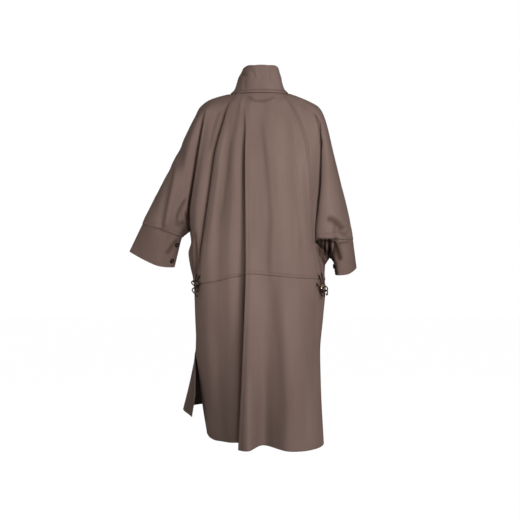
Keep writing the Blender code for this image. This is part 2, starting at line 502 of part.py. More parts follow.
def cut_piece(bm, name):
    """The wall of one piece: outer and inner side and the cut edge between them."""
    index = PIECES.index(name)
    faces = [f for f in bm.faces if f.material_index == index]
    own = set(faces)
    pull = {}
    for face in faces:
        for edge in face.edges:
            others = [f for f in edge.link_faces if f is not face]
            if others and others[0] not in own:
                for v in edge.verts:
                    pull.setdefault(v, []).append(inward(face, edge))
    out = bmesh.new()
    outer, inner = {}, {}
    for v in {v for f in faces for v in f.verts}:
        shift = Vector()
        if v in pull:
            mean = sum(pull[v], Vector()) / len(pull[v])
            shift = mean.normalized() * (SEAM_GAP / 2) / max(0.5, mean.length)
        normal = v.normal
        outer[v] = out.verts.new(v.co + shift)
        inner[v] = out.verts.new(v.co + shift - normal * WALL)
    for face in faces:
        out.faces.new([outer[v] for v in face.verts])
        out.faces.new([inner[v] for v in reversed(face.verts)])
        for edge in face.edges:
            if len([f for f in edge.link_faces if f in own]) == 1:
                a, b = sorted(edge.verts, key=lambda v: v.index)   # the same diagonal on both sides of a seam
                out.faces.new([outer[b], outer[a], inner[a]])
                out.faces.new([outer[b], inner[a], inner[b]])
    bmesh.ops.recalc_face_normals(out, faces=out.faces)
    return out


def material(name, colour, roughness, metallic=0.0):
    mat = bpy.data.materials.new(name)
    mat.use_nodes = True
    shader = mat.node_tree.nodes["Principled BSDF"]
    shader.inputs["Base Color"].default_value = colour
    shader.inputs["Roughness"].default_value = roughness
    shader.inputs["Metallic"].default_value = metallic
    return mat


def add_object(name, bm, mat):
    mesh = bpy.data.meshes.new(name)
    bm.to_mesh(mesh)
    bm.free()
    mesh.materials.clear()
    mesh.materials.append(mat)
    obj = bpy.data.objects.new(name, mesh)
    coat.objects.link(obj)
    return obj


for old in list(bpy.data.objects):
    bpy.data.objects.remove(old, do_unlink=True)
coat = bpy.data.collections.new("leather_coat")
bpy.context.scene.collection.children.link(coat)
LEATHER = material("leather", COLOUR_LEATHER, 0.55)

surface = coat_surface()
for piece in PIECES:
    add_object(piece, cut_piece(surface, piece), LEATHER)
outside = BVHTree.FromBMesh(surface)
surface.free()


# Buttons: turned horn discs on the front lap and on the inner side of each cuff.
HORN = material("horn", COLOUR_HORN, 0.35)
BUTTON_SIDES = 20
FRONT_BUTTON = (0.0105, 0.0038)        # radius, thickness
CUFF_BUTTON = (0.0080, 0.0032)
FRONT_BUTTON_HEIGHTS = (-0.075, -0.200, -0.325, -0.450, -0.575, -0.700)
CUFF_BUTTONS = (   # where a line in the given direction meets the cuff
    ("cuff_button_l_1", (0.2795, 1.0, -0.508), (0.0, -1.0, 0.0)),
    ("cuff_button_l_2", (0.2950, 1.0, -0.562), (0.0, -1.0, 0.0)),
    ("cuff_button_r_1", (-0.2400, 0.006, -0.556), (-1.0, 0.0, 0.0)),
    ("cuff_button_r_2", (-0.2400, 0.002, -0.580), (-1.0, 0.0, 0.0)))


def button(name, origin, direction, radius, thickness):
    """A button seated where a line from the origin meets the cloth."""
    place, normal = outside.ray_cast(Vector(origin), Vector(direction))[:2]
    if normal.dot(Vector(direction)) > 0:
        normal = -normal
    bm = bmesh.new()
    bmesh.ops.create_cone(bm, cap_ends=True, segments=BUTTON_SIDES, radius1=radius, radius2=radius,
                          depth=thickness)
    rim = [e for e in bm.edges if abs(e.verts[0].co.z - e.verts[1].co.z) < 1e-6]
    bmesh.ops.bevel(bm, geom=rim, offset=thickness * 0.3, offset_type="OFFSET", segments=1, profile=0.5,
                    affect="EDGES", material=-1, clamp_overlap=True)
    turn = Vector((0.0, 0.0, 1.0)).rotation_difference(normal).to_matrix().to_4x4()
    bmesh.ops.transform(bm, matrix=turn, verts=bm.verts)
    bmesh.ops.translate(bm, vec=place + normal * (2 * SEAT + thickness / 2), verts=bm.verts)
    add_object(name, bm, HORN)


for number, height in enumerate(FRONT_BUTTON_HEIGHTS):
    button(f"front_button_{number + 1}", (0.004, -1.0, height), (0.0, 1.0, 0.0), *FRONT_BUTTON)
for name, origin, direction in CUFF_BUTTONS:
    button(name, origin, direction, *CUFF_BUTTON)

# Waist ties: on each side two strands of one cord come out of brass eyelets, run through a brass clasp and
# are tied in a knot with two loops and two free ends, each with a metal bead.
BRASS = material("brass", COLOUR_BRASS, 0.35, 1.0)
CORD = material("cord", COLOUR_CORD, 0.7)
CORD_RADIUS = 0.0018
KNOT_RADIUS = 0.0045
KNOT_STAND_OFF = 0.0080     # the knot's centre off the cloth
EYELET = (0.0040, 0.0011)   # radius of the ring's middle, of its wire
CLASP_RADIUS = 0.0029
BEAD_RADIUS = 0.0038
# x and height of the eyelets and of the knot's seat on the back of the coat.
EYELETS = {"l": ((0.196, -0.612), (0.206, -0.607)), "r": ((-0.190, -0.610), (-0.200, -0.603))}
KNOT_SEAT = {"l": (0.1995, -0.6445), "r": (-0.1925, -0.6588)}
# Routes from the knot, in millimetres: sideways away from the body, back, up.
CLASP = {"l": ((0.0, 0.0, 6.2), (2.0, 0.0, 17.0)), "r": ((0.0, 0.0, 6.2), (3.6, 1.0, 21.0))}
LOOP_HIGH = {
    "l": ((3.9, -1.7, 3.6), (7.0, -4.0, 9.0), (8.0, -5.0, 15.0), (12.0, -7.0, 20.0), (17.5, -9.0, 19.0),
          (20.5, -11.0, 13.0), (18.0, -9.0, 6.5), (12.0, -4.0, 2.0), (5.6, 0.0, 0.0)),
    "r": ((3.9, -1.7, 3.6), (6.5, -3.0, 8.5), (9.0, -4.0, 12.5), (13.5, -6.0, 14.0), (19.0, -9.0, 11.0),
          (21.0, -10.0, 5.0), (17.5, -8.0, -1.0), (11.0, -4.0, -2.0), (5.6, 0.0, 0.0)),
}
LOOP_LOW = {
    "l": ((-2.0, 0.0, -5.2), (-3.5, 1.0, -9.5), (-1.5, 1.5, -14.5), (3.0, 0.0, -16.5), (7.0, -2.0, -13.5),
          (6.5, -1.5, -8.5), (2.5, 0.0, -5.0)),
    "r": ((-2.0, 0.0, -5.2), (-1.0, 1.0, -10.0), (1.5, 1.0, -15.5), (6.5, -1.0, -18.0), (11.0, -3.5, -14.5),
          (8.5, -2.0, -8.5), (2.5, 0.0, -5.0)),
}
END_OUTER = {
    "l": ((4.2, 2.8, -2.5), (9.5, 1.5, -4.5), (14.5, -2.0, -7.0), (17.0, -5.0, -12.5), (13.5, -5.0, -18.5),
          (8.0, -3.0, -24.0), (3.8, -0.5, -29.0)),
    "r": ((4.2, 2.8, -2.5), (7.5, 5.5, -0.5), (12.0, 4.5, 1.5), (16.5, 0.5, 1.0), (20.5, -3.5, -3.5),
          (19.5, -5.0, -8.5)),
}
END_INNER = {
    "l": ((-4.5, 3.4, 0.6), (-7.0, 7.0, 4.0), (-6.0, 9.0, 10.0), (-1.0, 9.0, 15.5), (5.0, 7.5, 18.0),
          (9.2, 5.5, 17.5)),
    "r": ((-4.5, 3.4, 0.6), (-8.5, 10.0, -2.5), (-13.5, 17.0, -1.0), (-16.5, 22.0, 5.0), (-16.5, 23.0, 12.0),
          (-15.0, 21.5, 18.0)),
}


def tube(name, points, steps=2):
    """A cord along a smooth curve through the points."""
    route = [p for run in curve_through(points, [steps] * (len(points) - 1)) for p in run[:-1]] + [points[-1]]
    data = bpy.data.curves.new(name, "CURVE")
    data.dimensions = "3D"
    data.bevel_depth = CORD_RADIUS
    data.bevel_resolution = 1
    data.use_fill_caps = True
    data.materials.append(CORD)
    spline = data.splines.new("POLY")
    spline.points.add(len(route) - 1)
    for point, place in zip(spline.points, route):
        point.co = (*place, 1.0)
    coat.objects.link(bpy.data.objects.new(name, data))


def turned_to(bm, axis, centre):
    """Turns a shape made round the z axis to the axis, and moves it to its centre."""
    turn = Vector((0.0, 0.0, 1.0)).rotation_difference(axis).to_matrix().to_4x4()
    bmesh.ops.transform(bm, matrix=turn, verts=bm.verts)
    bmesh.ops.translate(bm, vec=centre, verts=bm.verts)


def eyelet(name, centre, axis, radius, wire, sides=14, wire_sides=6):
    bm = bmesh.new()
    bmesh.ops.create_circle(bm, segments=wire_sides, radius=wire)
    bmesh.ops.rotate(bm, cent=(0, 0, 0), matrix=Matrix.Rotation(math.pi / 2, 3, "X"), verts=bm.verts)
    bmesh.ops.translate(bm, vec=(radius, 0, 0), verts=bm.verts)
    bmesh.ops.spin(bm, geom=bm.verts[:] + bm.edges[:], cent=(0, 0, 0), axis=(0, 0, 1), angle=2 * math.pi,
                   steps=sides, use_merge=True)
    bmesh.ops.recalc_face_normals(bm, faces=bm.faces)
    turned_to(bm, axis, centre)
    add_object(name, bm, BRASS)


def clasp(name, low, high, radius):
    bm = bmesh.new()
    bmesh.ops.create_cone(bm, cap_ends=True, segments=12, radius1=radius, radius2=radius,
                          depth=(high - low).length)
    turned_to(bm, high - low, (low + high) / 2)
    add_object(name, bm, BRASS)


def ball(name, centre, radius, mat):
    bm = bmesh.new()
    bmesh.ops.create_uvsphere(bm, u_segments=12, v_segments=8, radius=radius)
    bmesh.ops.translate(bm, vec=centre, verts=bm.verts)
    add_object(name, bm, mat)


BACKWARDS = Vector((0.0, -1.0, 0.0))
for side, outward in (("l", 1.0), ("r", -1.0)):
    x, z = KNOT_SEAT[side]
    seat, normal = outside.ray_cast(Vector((x, 1.0, z)), BACKWARDS)[:2]
    knot = seat + normal * KNOT_STAND_OFF

    def from_knot(route):
        return [knot + Vector((a * outward, b, c)) * 0.001 for a, b, c in route]

    ball(f"knot_{side}", knot, KNOT_RADIUS, CORD)
    low, high = from_knot(CLASP[side])
    clasp(f"clasp_{side}", low, high, CLASP_RADIUS)
    for number, (x, z) in enumerate(EYELETS[side]):
        hole, normal = outside.ray_cast(Vector((x, 1.0, z)), BACKWARDS)[:2]
        eyelet(f"eyelet_{side}_{number + 1}", hole + normal * (EYELET[1] + 2 * SEAT), normal, *EYELET)
        start = hole + normal * (CORD_RADIUS + 2 * SEAT)
        spread = Vector((outward * (number * 2 - 1) * (CORD_RADIUS + SEAT), 0.0, 0.0))
        end = high + (high - low).normalized() * (4 * SEAT) + spread
        tube(f"strand_{side}_{number + 1}", [start, start + normal * 0.003 - Vector((0, 0, 0.004)),
                                             end + Vector((0, 0, 0.005)), end])
    tube(f"loop_high_{side}", from_knot(LOOP_HIGH[side]))
    tube(f"loop_low_{side}", from_knot(LOOP_LOW[side]))
    for name, route in (("outer", END_OUTER[side]), ("inner", END_INNER[side])):
        points = from_knot(route)
        tube(f"tie_end_{name}_{side}", points)
        last = (points[-1] - points[-2]).normalized()
        ball(f"bead_{name}_{side}", points[-1] + last * (BEAD_RADIUS + SEAT), BEAD_RADIUS, BRASS)
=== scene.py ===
"""The long leather coat as it looks: a worn form with no wearer, seen from behind.

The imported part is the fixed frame. Each section below makes one piece of the coat, or a group of like pieces.
Metres, +Z up, the front faces -Y, and the wearer's left is at +X.
"""
import math
import bpy
import bmesh
import numpy as np
from mathutils import Matrix, Vector
from mathutils.bvhtree import BVHTree
from mathutils.kdtree import KDTree


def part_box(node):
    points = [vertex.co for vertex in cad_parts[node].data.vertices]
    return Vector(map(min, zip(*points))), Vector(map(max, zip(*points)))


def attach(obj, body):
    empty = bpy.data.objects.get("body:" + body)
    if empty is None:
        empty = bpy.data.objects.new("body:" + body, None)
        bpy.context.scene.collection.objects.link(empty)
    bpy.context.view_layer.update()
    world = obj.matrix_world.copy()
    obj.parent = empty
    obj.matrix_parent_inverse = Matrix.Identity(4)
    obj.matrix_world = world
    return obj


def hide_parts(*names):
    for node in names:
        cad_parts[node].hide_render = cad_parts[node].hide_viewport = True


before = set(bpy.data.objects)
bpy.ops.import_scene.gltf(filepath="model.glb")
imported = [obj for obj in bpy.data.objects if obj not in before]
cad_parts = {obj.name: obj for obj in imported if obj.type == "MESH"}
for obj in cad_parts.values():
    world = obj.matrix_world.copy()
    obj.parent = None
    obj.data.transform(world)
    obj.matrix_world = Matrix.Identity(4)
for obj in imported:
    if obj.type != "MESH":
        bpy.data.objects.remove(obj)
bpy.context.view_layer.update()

# The coat's cloth, before it is cut into its pieces: one skin of soft, smooth, matt leather, 1.8 mm thick. Lines
# that run down from the neck, along crests and troughs of its folds, give its form, and it is laid on them as a
# fine mesh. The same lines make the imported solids.
# Lines of the yoke, sleeves and bodice, from the neck seam to the underarm or the waist seam. Each row is
# (height z, x, depth y) in millimetres, as in the four tables after it.
BODICE = {
    "front_l": ((-29, -30, -78), (-60, -30, -104), (-120, -30, -125), (-205, -30, -138), (-300, -30, -145),
        (-400, -30, -147), (-630, -30, -146)),
    "lapel_l": ((-28, 38, -79), (-58, 41, -106), (-120, 46, -127), (-205, 50, -140), (-300, 53, -147),
        (-400, 55, -149), (-630, 57, -148)),
    "chest_l": ((-22, 60, -68), (-55, 74, -98), (-118, 88, -121), (-203, 100, -136), (-300, 108, -142),
        (-400, 114, -143), (-632, 120, -136)),
    "raglanf_l": ((-14, 77, -54), (-46, 101, -84), (-113, 119, -108), (-200, 136, -121), (-300, 150, -125),
        (-396, 163, -122), (-526, 178, -112), (-636, 184, -106)),
    "sidef_l": ((-9, 87, -38), (-35, 115, -65), (-67, 143, -85), (-118, 157, -98), (-200, 171, -104),
        (-298, 187, -101), (-395, 202, -88), (-467, 210, -72), (-526, 212, -66), (-636, 210, -62)),
    "foldf_l": ((-7, 94, -27), (-29, 131, -50), (-54, 167, -70), (-85, 182, -78), (-125, 188, -80),
        (-200, 200, -74), (-295, 214, -60), (-393, 231, -34), (-439, 238, -17), (-465, 236, -6)),
    "armf_l": ((-4, 97, -18), (-22, 144, -32), (-45, 177, -48), (-73, 198, -56), (-114, 213, -64), (-199, 236, -78),
        (-297, 268, -82), (-385, 299, -76), (-435, 315, -66)),
    "overarm_l": ((-3, 99, -7), (-15, 148, -9), (-26, 175, -9), (-38, 191, -9), (-52, 204, -8), (-76, 215.5, -8),
        (-102, 229, -8), (-189, 271, -10), (-290, 321, -12), (-415, 386, -18)),
    "arm_l": ((-4, 96, 5), (-22, 143, 16), (-45, 176, 30), (-73, 198, 40), (-114, 214, 52), (-199, 236, 70),
        (-297, 268, 74), (-385, 299, 62), (-435, 316, 48)),
    "fold_l": ((-6, 91, 13), (-29, 129, 34), (-54, 168, 50), (-75, 182, 58), (-115, 189, 64), (-197, 202, 68),
        (-295, 218, 62), (-393, 235, 42), (-439, 239, 20), (-465, 236, -6)),
    "side_l": ((-6, 83, 23), (-35, 112, 50), (-67, 144, 66), (-118, 160, 79), (-200, 176, 89), (-298, 193, 91),
        (-395, 207, 85), (-467, 215, 74), (-526, 218, 60), (-638, 216, 42)),
    "raglan_l": ((-6, 74, 32), (-46, 102, 66), (-113, 122, 87), (-202, 146, 96), (-299, 160, 98), (-396, 174, 94),
        (-477, 186, 86), (-526, 194, 82), (-638, 203, 70)),
    "crest1": ((-6, 68, 37), (-48, 85, 74), (-117, 106, 97), (-203, 126, 110), (-300, 136, 115), (-397, 150, 113),
        (-478, 162, 108), (-634, 170, 99)),
    "trough1": ((-7, 62, 41), (-49, 72, 78), (-118, 88, 100), (-193, 103, 106), (-300, 115, 108), (-397, 126, 108),
        (-478, 136, 108), (-629, 140, 106)),
    "crest2": ((-8, 54, 46), (-50, 62, 84), (-119, 70, 110), (-205, 80, 122), (-302, 85, 128), (-398, 90, 130),
        (-495, 94, 132), (-617, 96, 130)),
    "f1root": ((-8, 47, 50), (-57, 52, 88), (-119, 56, 112), (-203, 57, 120), (-301, 57, 127), (-398, 57, 131),
        (-494, 57, 133), (-610, 57, 131)),
    "f1edge": ((-8, 40, 53), (-58, 45, 90), (-120, 51, 114), (-205, 54, 126), (-302, 54, 135), (-399, 53, 142),
        (-495, 52, 147), (-607, 51, 152)),
    "crest3": ((-8, 23, 58), (-51, 28, 91), (-120, 32, 118), (-206, 34, 133), (-303, 34, 143), (-399, 33, 151),
        (-495, 32, 156), (-604, 30, 161)),
    "trough2": ((-8, -3, 60), (-57, 2, 91), (-119, 0, 114), (-185, -8, 129), (-302, -18, 139), (-412, -22, 146),
        (-495, -18, 149), (-607, -14, 150)),
    "crest4": ((-8, -36, 55), (-57, -41, 89), (-120, -52, 116), (-206, -61, 132), (-303, -70, 143),
        (-399, -78, 151), (-495, -80, 157), (-613, -80, 161)),
    "trough3": ((-7, -56, 45), (-50, -69, 80), (-118, -91, 104), (-204, -101, 119), (-302, -113, 129),
        (-399, -124, 137), (-479, -133, 141), (-618, -138, 145)),
    "crest5": ((-6, -68, 37), (-42, -88, 70), (-118, -117, 98), (-203, -131, 112), (-301, -142, 119),
        (-398, -150, 122), (-478, -158, 122), (-620, -172, 120)),
    "raglan_r": ((-6, -79, 30), (-58, -111, 68), (-116, -138, 87), (-202, -158, 98), (-299, -167, 98),
        (-397, -170, 92), (-481, -175, 82), (-543, -191, 67), (-622, -206, 54)),
    "side_r": ((-7, -85, 23), (-46, -125, 56), (-84, -164, 72), (-121, -184, 76), (-199, -190, 76),
        (-296, -191, 70), (-394, -190, 64), (-480, -192, 52), (-549, -208, 30), (-622, -219, 18)),
    "root_r": ((-6, -89, 16), (-41, -139, 45), (-76, -179, 60), (-119, -199, 62), (-196, -210, 56),
        (-294, -213, 48), (-393, -214, 36), (-466, -219, 6), (-549, -236, -12)),
    "edge_r": ((-4, -91, 10), (-36, -149, 37), (-69, -186, 54), (-116, -201, 64), (-199, -201, 76),
        (-298, -199, 78), (-395, -190, 80), (-467, -184, 81), (-486, -186, 80)),
    "arm_r": ((-1, -93, 2), (-29, -157, 18), (-60, -194, 34), (-114, -212, 50), (-200, -219, 80), (-298, -226, 88),
        (-396, -234, 90), (-468, -244, 83)),
    "overarm_r": ((-1, -95, -7), (-14, -131, -9), (-24, -155, -9), (-35, -178, -9), (-46, -195, -8),
        (-64, -208, -8), (-102, -222, -8), (-189, -243, -10), (-290, -268, -14), (-390, -292, -20),
        (-454, -307, -22)),
    "armf_r": ((-2, -93, -18), (-29, -155, -38), (-60, -190, -54), (-114, -207, -68), (-200, -216, -96),
        (-298, -224, -104), (-396, -234, -104), (-468, -244, -100)),
    "foldf_r": ((-7, -90, -27), (-36, -145, -58), (-69, -176, -76), (-116, -190, -84), (-200, -199, -84),
        (-298, -203, -76), (-395, -208, -64), (-467, -216, -52), (-549, -236, -12)),
    "sidef_r": ((-9, -84, -38), (-35, -118, -66), (-67, -149, -86), (-118, -164, -99), (-200, -174, -106),
        (-298, -184, -104), (-395, -192, -94), (-467, -198, -82), (-549, -204, -72), (-636, -208, -66)),
}
# Lines of the skirt below the waist seam, to the slit top and the hem.
SKIRT = {
    "front_l": ((-860, -30, -157), (-960, -30, -174), (-1064, -30, -194)),
    "lapel_l": ((-860, 58, -160), (-960, 60, -177), (-1065, 61, -198)),
    "chest_l": ((-860, 121, -140), (-960, 124, -166), (-1067, 130, -206)),
    "raglanf_l": ((-860, 184, -112), (-960, 198, -142), (-1071, 218, -196)),
    "sidef_l": ((-730, 212, -58), (-860, 217, -60), (-945, 233, -84), (-1076, 266, -146)),
    "fold_l": ((-730, 217, -10), (-860, 215, -12), (-892, 212, -12), (-937, 208, -20), (-1047, 196, -40),
        (-1150, 181, -58)),
    "foldf_l": ((-730, 217, -10), (-860, 215, -12), (-884, 220, -15), (-934, 217, 0), (-998, 217, 18),
        (-1079, 227, 34)),
    "side_l": ((-730, 215, 30), (-860, 209, 11), (-1000, 196, -12), (-1152, 177, -40)),
    "raglan_l": ((-730, 202, 58), (-860, 196, 38), (-1000, 184, 12), (-1156, 170, -18)),
    "crest1": ((-860, 170, 70), (-1000, 161, 44), (-1160, 151, 14)),
    "trough1": ((-860, 140, 84), (-1000, 134, 64), (-1158, 127, 46)),
    "crest2": ((-860, 100, 114), (-1000, 101, 104), (-1154, 99, 90)),
    "f1root": ((-730, 57, 134), (-860, 59, 136), (-1000, 64, 134), (-1150, 70, 129)),
    "f1edge": ((-860, 58, 161), (-1000, 63, 164), (-1162, 70, 164)),
    "crest3": ((-860, 36, 178), (-1000, 37, 186), (-1162, 38, 193)),
    "trough2": ((-860, -16, 144), (-1000, -15, 134), (-1156, -10, 124)),
    "crest4": ((-860, -87, 173), (-1000, -90, 181), (-1163.5, -87, 187)),
    "trough3": ((-860, -134, 160), (-1000, -136, 169), (-1165, -138, 176)),
    "crest5": ((-860, -163, 132), (-1000, -168, 140), (-1164.5, -174, 146)),
    "raglan_r": ((-740, -200, 66), (-860, -190, 80), (-1000, -192, 98), (-1163.5, -198, 108)),
    "side_r": ((-740, -209, 38), (-860, -198, 52), (-1000, -199, 78), (-1160, -206, 92)),
    "root_r": ((-740, -212, -6), (-860, -200, -2), (-1000, -202, 50), (-1159, -209, 78)),
    "foldf_r": ((-740, -212, -6), (-860, -200, -2), (-960, -194, -12), (-1070, -190, -20)),
    "sidef_r": ((-740, -205, -62), (-860, -198, -64), (-960, -196, -78), (-1070, -197, -98)),
    "raglanf_r": ((-860, -180, -112), (-960, -180, -130), (-1068, -183, -152)),
    "chest_r": ((-860, -121, -142), (-960, -124, -162), (-1066, -128, -188)),
}
# The side seams below the underarm, at the waist seam.
SIDE_SEAM = {
    "l": ((-500, 232, -8), (-535, 240, -8), (-575, 235, -8), (-637, 222, -8)),
    "r": ((-580, -221, -12), (-628, -221, -12)),
}
# Cuff seam and cuff hem rings.
CUFF_SEAM = {"foldf_l": (-484, 263.5, -18), "armf_l": (-460, 322, -61), "overarm_l": (-438, 396, -18),
    "arm_l": (-460, 324, 34), "fold_l": (-484, 263.5, -18), "foldf_r": (-548, -243, -18),
    "armf_r": (-498, -264, -92), "overarm_r": (-491, -312.5, -24), "arm_r": (-492, -283, 60),
    "edge_r": (-493, -252, 64), "root_r": (-548, -243, -18)}
CUFF_HEM = {"foldf_l": (-583, 288, -24), "armf_l": (-565, 352, -66), "overarm_l": (-530, 441, -26),
    "arm_l": (-579, 342, 8), "fold_l": (-585, 288, -24), "foldf_r": (-603, -252, -30), "armf_r": (-604, -272, -100),
    "overarm_r": (-584, -326.5, -34), "arm_r": (-607, -291, 32), "edge_r": (-610, -257, 36),
    "root_r": (-603, -252, -30)}
# Collar rings above the neck seam: height at the back, width and depth against the neck seam, sideways shift.
COLLAR = ((0.018, 0.865, 0.93, 0.000), (0.042, 0.790, 0.88, 0.000), (0.062, 0.745, 0.86, -0.001),
          (0.080, 0.670, 0.84, -0.003), (0.094, 0.625, 0.82, -0.004))
NECK_CENTRE_Y = -0.010
COLLAR_BACK = (0.060, -0.008)   # depth y and height of the neck seam at the back
COLLAR_TILT = 0.17              # the collar's top edge is level across and falls this much towards the front


def metres(rows):
    """A table's rows, which are written in millimetres."""
    return tuple(tuple(value / 1000 for value in row) for row in rows)


BODICE, SKIRT, SIDE_SEAM = ({name: metres(rows) for name, rows in table.items()}
                            for table in (BODICE, SKIRT, SIDE_SEAM))
CUFF_SEAM, CUFF_HEM = (dict(zip(table, metres(table.values()))) for table in (CUFF_SEAM, CUFF_HEM))


def tangents(p0, p1, p2, p3, gaps):
    """How a smooth curve through four points leaves the second and arrives at the third."""
    a, b, c = gaps
    return (((p1 - p0) / a - (p2 - p0) / (a + b) + (p2 - p1) / b) * b,
            ((p2 - p1) / b - (p3 - p1) / (b + c) + (p3 - p2) / c) * b)


def curve(t, start, leave, end, arrive):
    """Points at the shares t of a cubic curve with those ends and directions."""
    return ((2 * t**3 - 3 * t**2 + 1) * start + (t**3 - 2 * t**2 + t) * leave
            + (3 * t**2 - 2 * t**3) * end + (t**3 - t**2) * arrive)


def through(points, steps):
    """Points on a smooth curve through the given ones."""
    pts = [Vector(p) for p in points]
    pts = [pts[0] * 2 - pts[1]] + pts + [pts[-1] * 2 - pts[-2]]
    out = []
    for p0, p1, p2, p3 in zip(pts, pts[1:], pts[2:], pts[3:]):
        gaps = [max(1e-6, (b - a).length ** 0.5) for a, b in ((p0, p1), (p1, p2), (p2, p3))]
        leave, arrive = tangents(p0, p1, p2, p3, gaps)
        out += [curve(j / steps, p1, leave, p2, arrive) for j in range(steps)]
    return out + [pts[-2]]


def eased(share):
    """A share from 0 to 1 that starts and ends softly."""
    return share * share * (3 - 2 * share)


def finished(name, bm, materials, smooth=True):
    """A mesh object at the origin from a bmesh."""
    mesh = bpy.data.meshes.new(name)
    bm.to_mesh(mesh)
    bm.free()
    for mat in materials:
        mesh.materials.append(mat)
    if smooth:
        mesh.polygons.foreach_set("use_smooth", [True] * len(mesh.polygons))
    obj = bpy.data.objects.new(name, mesh)
    bpy.context.scene.collection.objects.link(obj)
    return obj


# The lines in their order round the coat, each with the columns of mesh up to the next one, before they are made
# finer.
LINES = (("front_l", 3), ("lapel_l", 2), ("chest_l", 2), ("raglanf_l", 2), ("sidef_l", 1), ("foldf_l", 3),
         ("armf_l", 3), ("overarm_l", 3), ("arm_l", 3), ("fold_l", 1), ("side_l", 1), ("raglan_l", 1), ("crest1", 1),
         ("trough1", 2), ("crest2", 1), ("f1root", 2), ("f1edge", 2), ("crest3", 3), ("trough2", 3), ("crest4", 2),
         ("trough3", 1), ("crest5", 2), ("raglan_r", 1), ("side_r", 1), ("root_r", 2), ("edge_r", 1), ("arm_r", 3),
         ("overarm_r", 3), ("armf_r", 3), ("foldf_r", 1), ("sidef_r", 2), ("raglanf_r", 2), ("chest_r", 2),
         ("lapel_r", 3), ("front_r", 0))
FINENESS = 5
COLUMNS = {name: count * FINENESS for name, count in LINES}
ORDER = list(COLUMNS)
CREASES = ("foldf_l", "fold_l", "root_r", "foldf_r")      # where a sleeve folds against the body
# Mesh columns lie closer beside these lines, for a sewn ridge or a sharp crease, at these distances from them.
SEWN = ("front_l", "raglanf_l", "foldf_l", "overarm_l", "fold_l", "raglan_l", "f1edge", "trough3", "raglan_r",
        "root_r", "overarm_r", "foldf_r", "raglanf_r", "front_r")
NEAR_SEAM = np.array((0.0008, 0.0022, 0.0046, 0.0076, 0.0096))
CREASE_FROM, CREASE_TO = 0.15, 0.50           # shares of the way down the yoke over which those creases sharpen
LAP = 0.007                                   # the right front edge lies this far over the left
UNDERARM_MID, UNDERARM_RISE = -0.507, 0.19    # height of the underarm line, and how it rises to the wearer's left
SLIT_TOP = -0.860
SLEEVE = {"l": ["foldf_l", "armf_l", "overarm_l", "arm_l", "fold_l"],
          "r": ["root_r", "edge_r", "arm_r", "overarm_r", "armf_r", "foldf_r"]}
IN_SLEEVE = ("armf_l", "overarm_l", "arm_l", "edge_r", "arm_r", "overarm_r", "armf_r")
TORSO = [n for n in ORDER if n not in IN_SLEEVE]
AT_BACK, AT_FRONT_R = TORSO.index("fold_l"), TORSO.index("foldf_r")
FRONT_L, BACK, FRONT_R = PANELS = TORSO[:AT_BACK], TORSO[AT_BACK:AT_FRONT_R], TORSO[AT_FRONT_R:]
for source, name, lift in (("raglanf_l", "raglanf_r", 0.0), ("chest_l", "chest_r", 0.001),
                           ("lapel_l", "lapel_r", 0.004), ("front_l", "front_r", LAP)):
    BODICE[name] = tuple((z, -x, y - lift) for z, x, y in BODICE[source])
    SKIRT.setdefault(name, tuple((z, -x, y - lift) for z, x, y in SKIRT[source]))


def follow(rows, heights):
    """Points on a line at the given heights, by a cubic through its rows that doesn't overshoot."""
    rows = np.array(rows)
    down, want = -rows[:, 0], np.clip(-np.asarray(heights), -rows[0, 0], -rows[-1, 0])
    k = np.clip(np.searchsorted(down, want, side="right") - 1, 0, len(rows) - 2)
    step = np.diff(down)
    t = (want - down[k]) / step[k]
    out = []
    for values in rows[:, 1:].T:
        rise = np.diff(values) / step
        slope = np.concatenate(([rise[0]], np.zeros(len(rise) - 1), [rise[-1]]))
        before, after = rise[:-1], rise[1:]
        turning = before * after <= 0
        slope[1:-1] = np.where(turning, 0.0, 2 * before * after / np.where(turning, 1.0, before + after))
        out.append(curve(t, values[k], step[k] * slope[k], values[k + 1], step[k] * slope[k + 1]))
    return np.stack((*out, np.asarray(heights)), axis=-1)


def shares(pair, width):
    """Where the mesh columns lie in a stretch, as shares of it, for each row's width."""
    near = NEAR_SEAM[None, :] / np.maximum(width, 2.6 * NEAR_SEAM[-1])[:, None]
    zero, one = np.zeros((len(width), 1)), np.ones((len(width), 1))
    low = near if pair[0] in SEWN else zero[:, :0]
    high = 1 - near[:, ::-1] if pair[1] in SEWN else zero[:, :0]
    first = low[:, -1:] if low.size else zero
    last = high[:, :1] if high.size else one
    middle_shares = first + (last - first) * np.linspace(0, 1, COLUMNS[pair[0]] + 1)[None, 1:-1]
    return np.concatenate([zero, low, middle_shares, high, one], axis=1)


def across(points, pairs, closed=False):
    """The cloth between lines, a smooth curve through them in each row: one array for each stretch."""
    points = list(points)
    if closed:
        ring = [points[-1]] + points + points[:2]
    else:
        ring = [2 * points[0] - points[1]] + points + [2 * points[-1] - points[-2]]
    runs = []
    for k, pair in enumerate(pairs):
        p0, p1, p2, p3 = ring[k:k + 4]
        gaps = [np.maximum(1e-6, np.linalg.norm(b - a, axis=1) ** 0.5)[:, None]
                for a, b in ((p0, p1), (p1, p2), (p2, p3))]
        leave, arrive = tangents(p0, p1, p2, p3, gaps)
        t = shares(pair, np.linalg.norm(p2 - p1, axis=1))[:, :, None]
        runs.append(curve(t, *(p[:, None, :] for p in (p1, leave, p2, arrive))))
    return runs


def joined(runs):
    """Stretches side by side as one array, with the line between two of them once."""
    return np.concatenate([runs[0]] + [run[:, 1:] for run in runs[1:]], axis=1)


def neighbours(names):
    """Each name with the next one."""
    return list(zip(names, names[1:]))


def underarm(rows):
    """The height of the underarm where a line crosses it."""
    return UNDERARM_MID + UNDERARM_RISE * follow(rows, [UNDERARM_MID])[0][0]


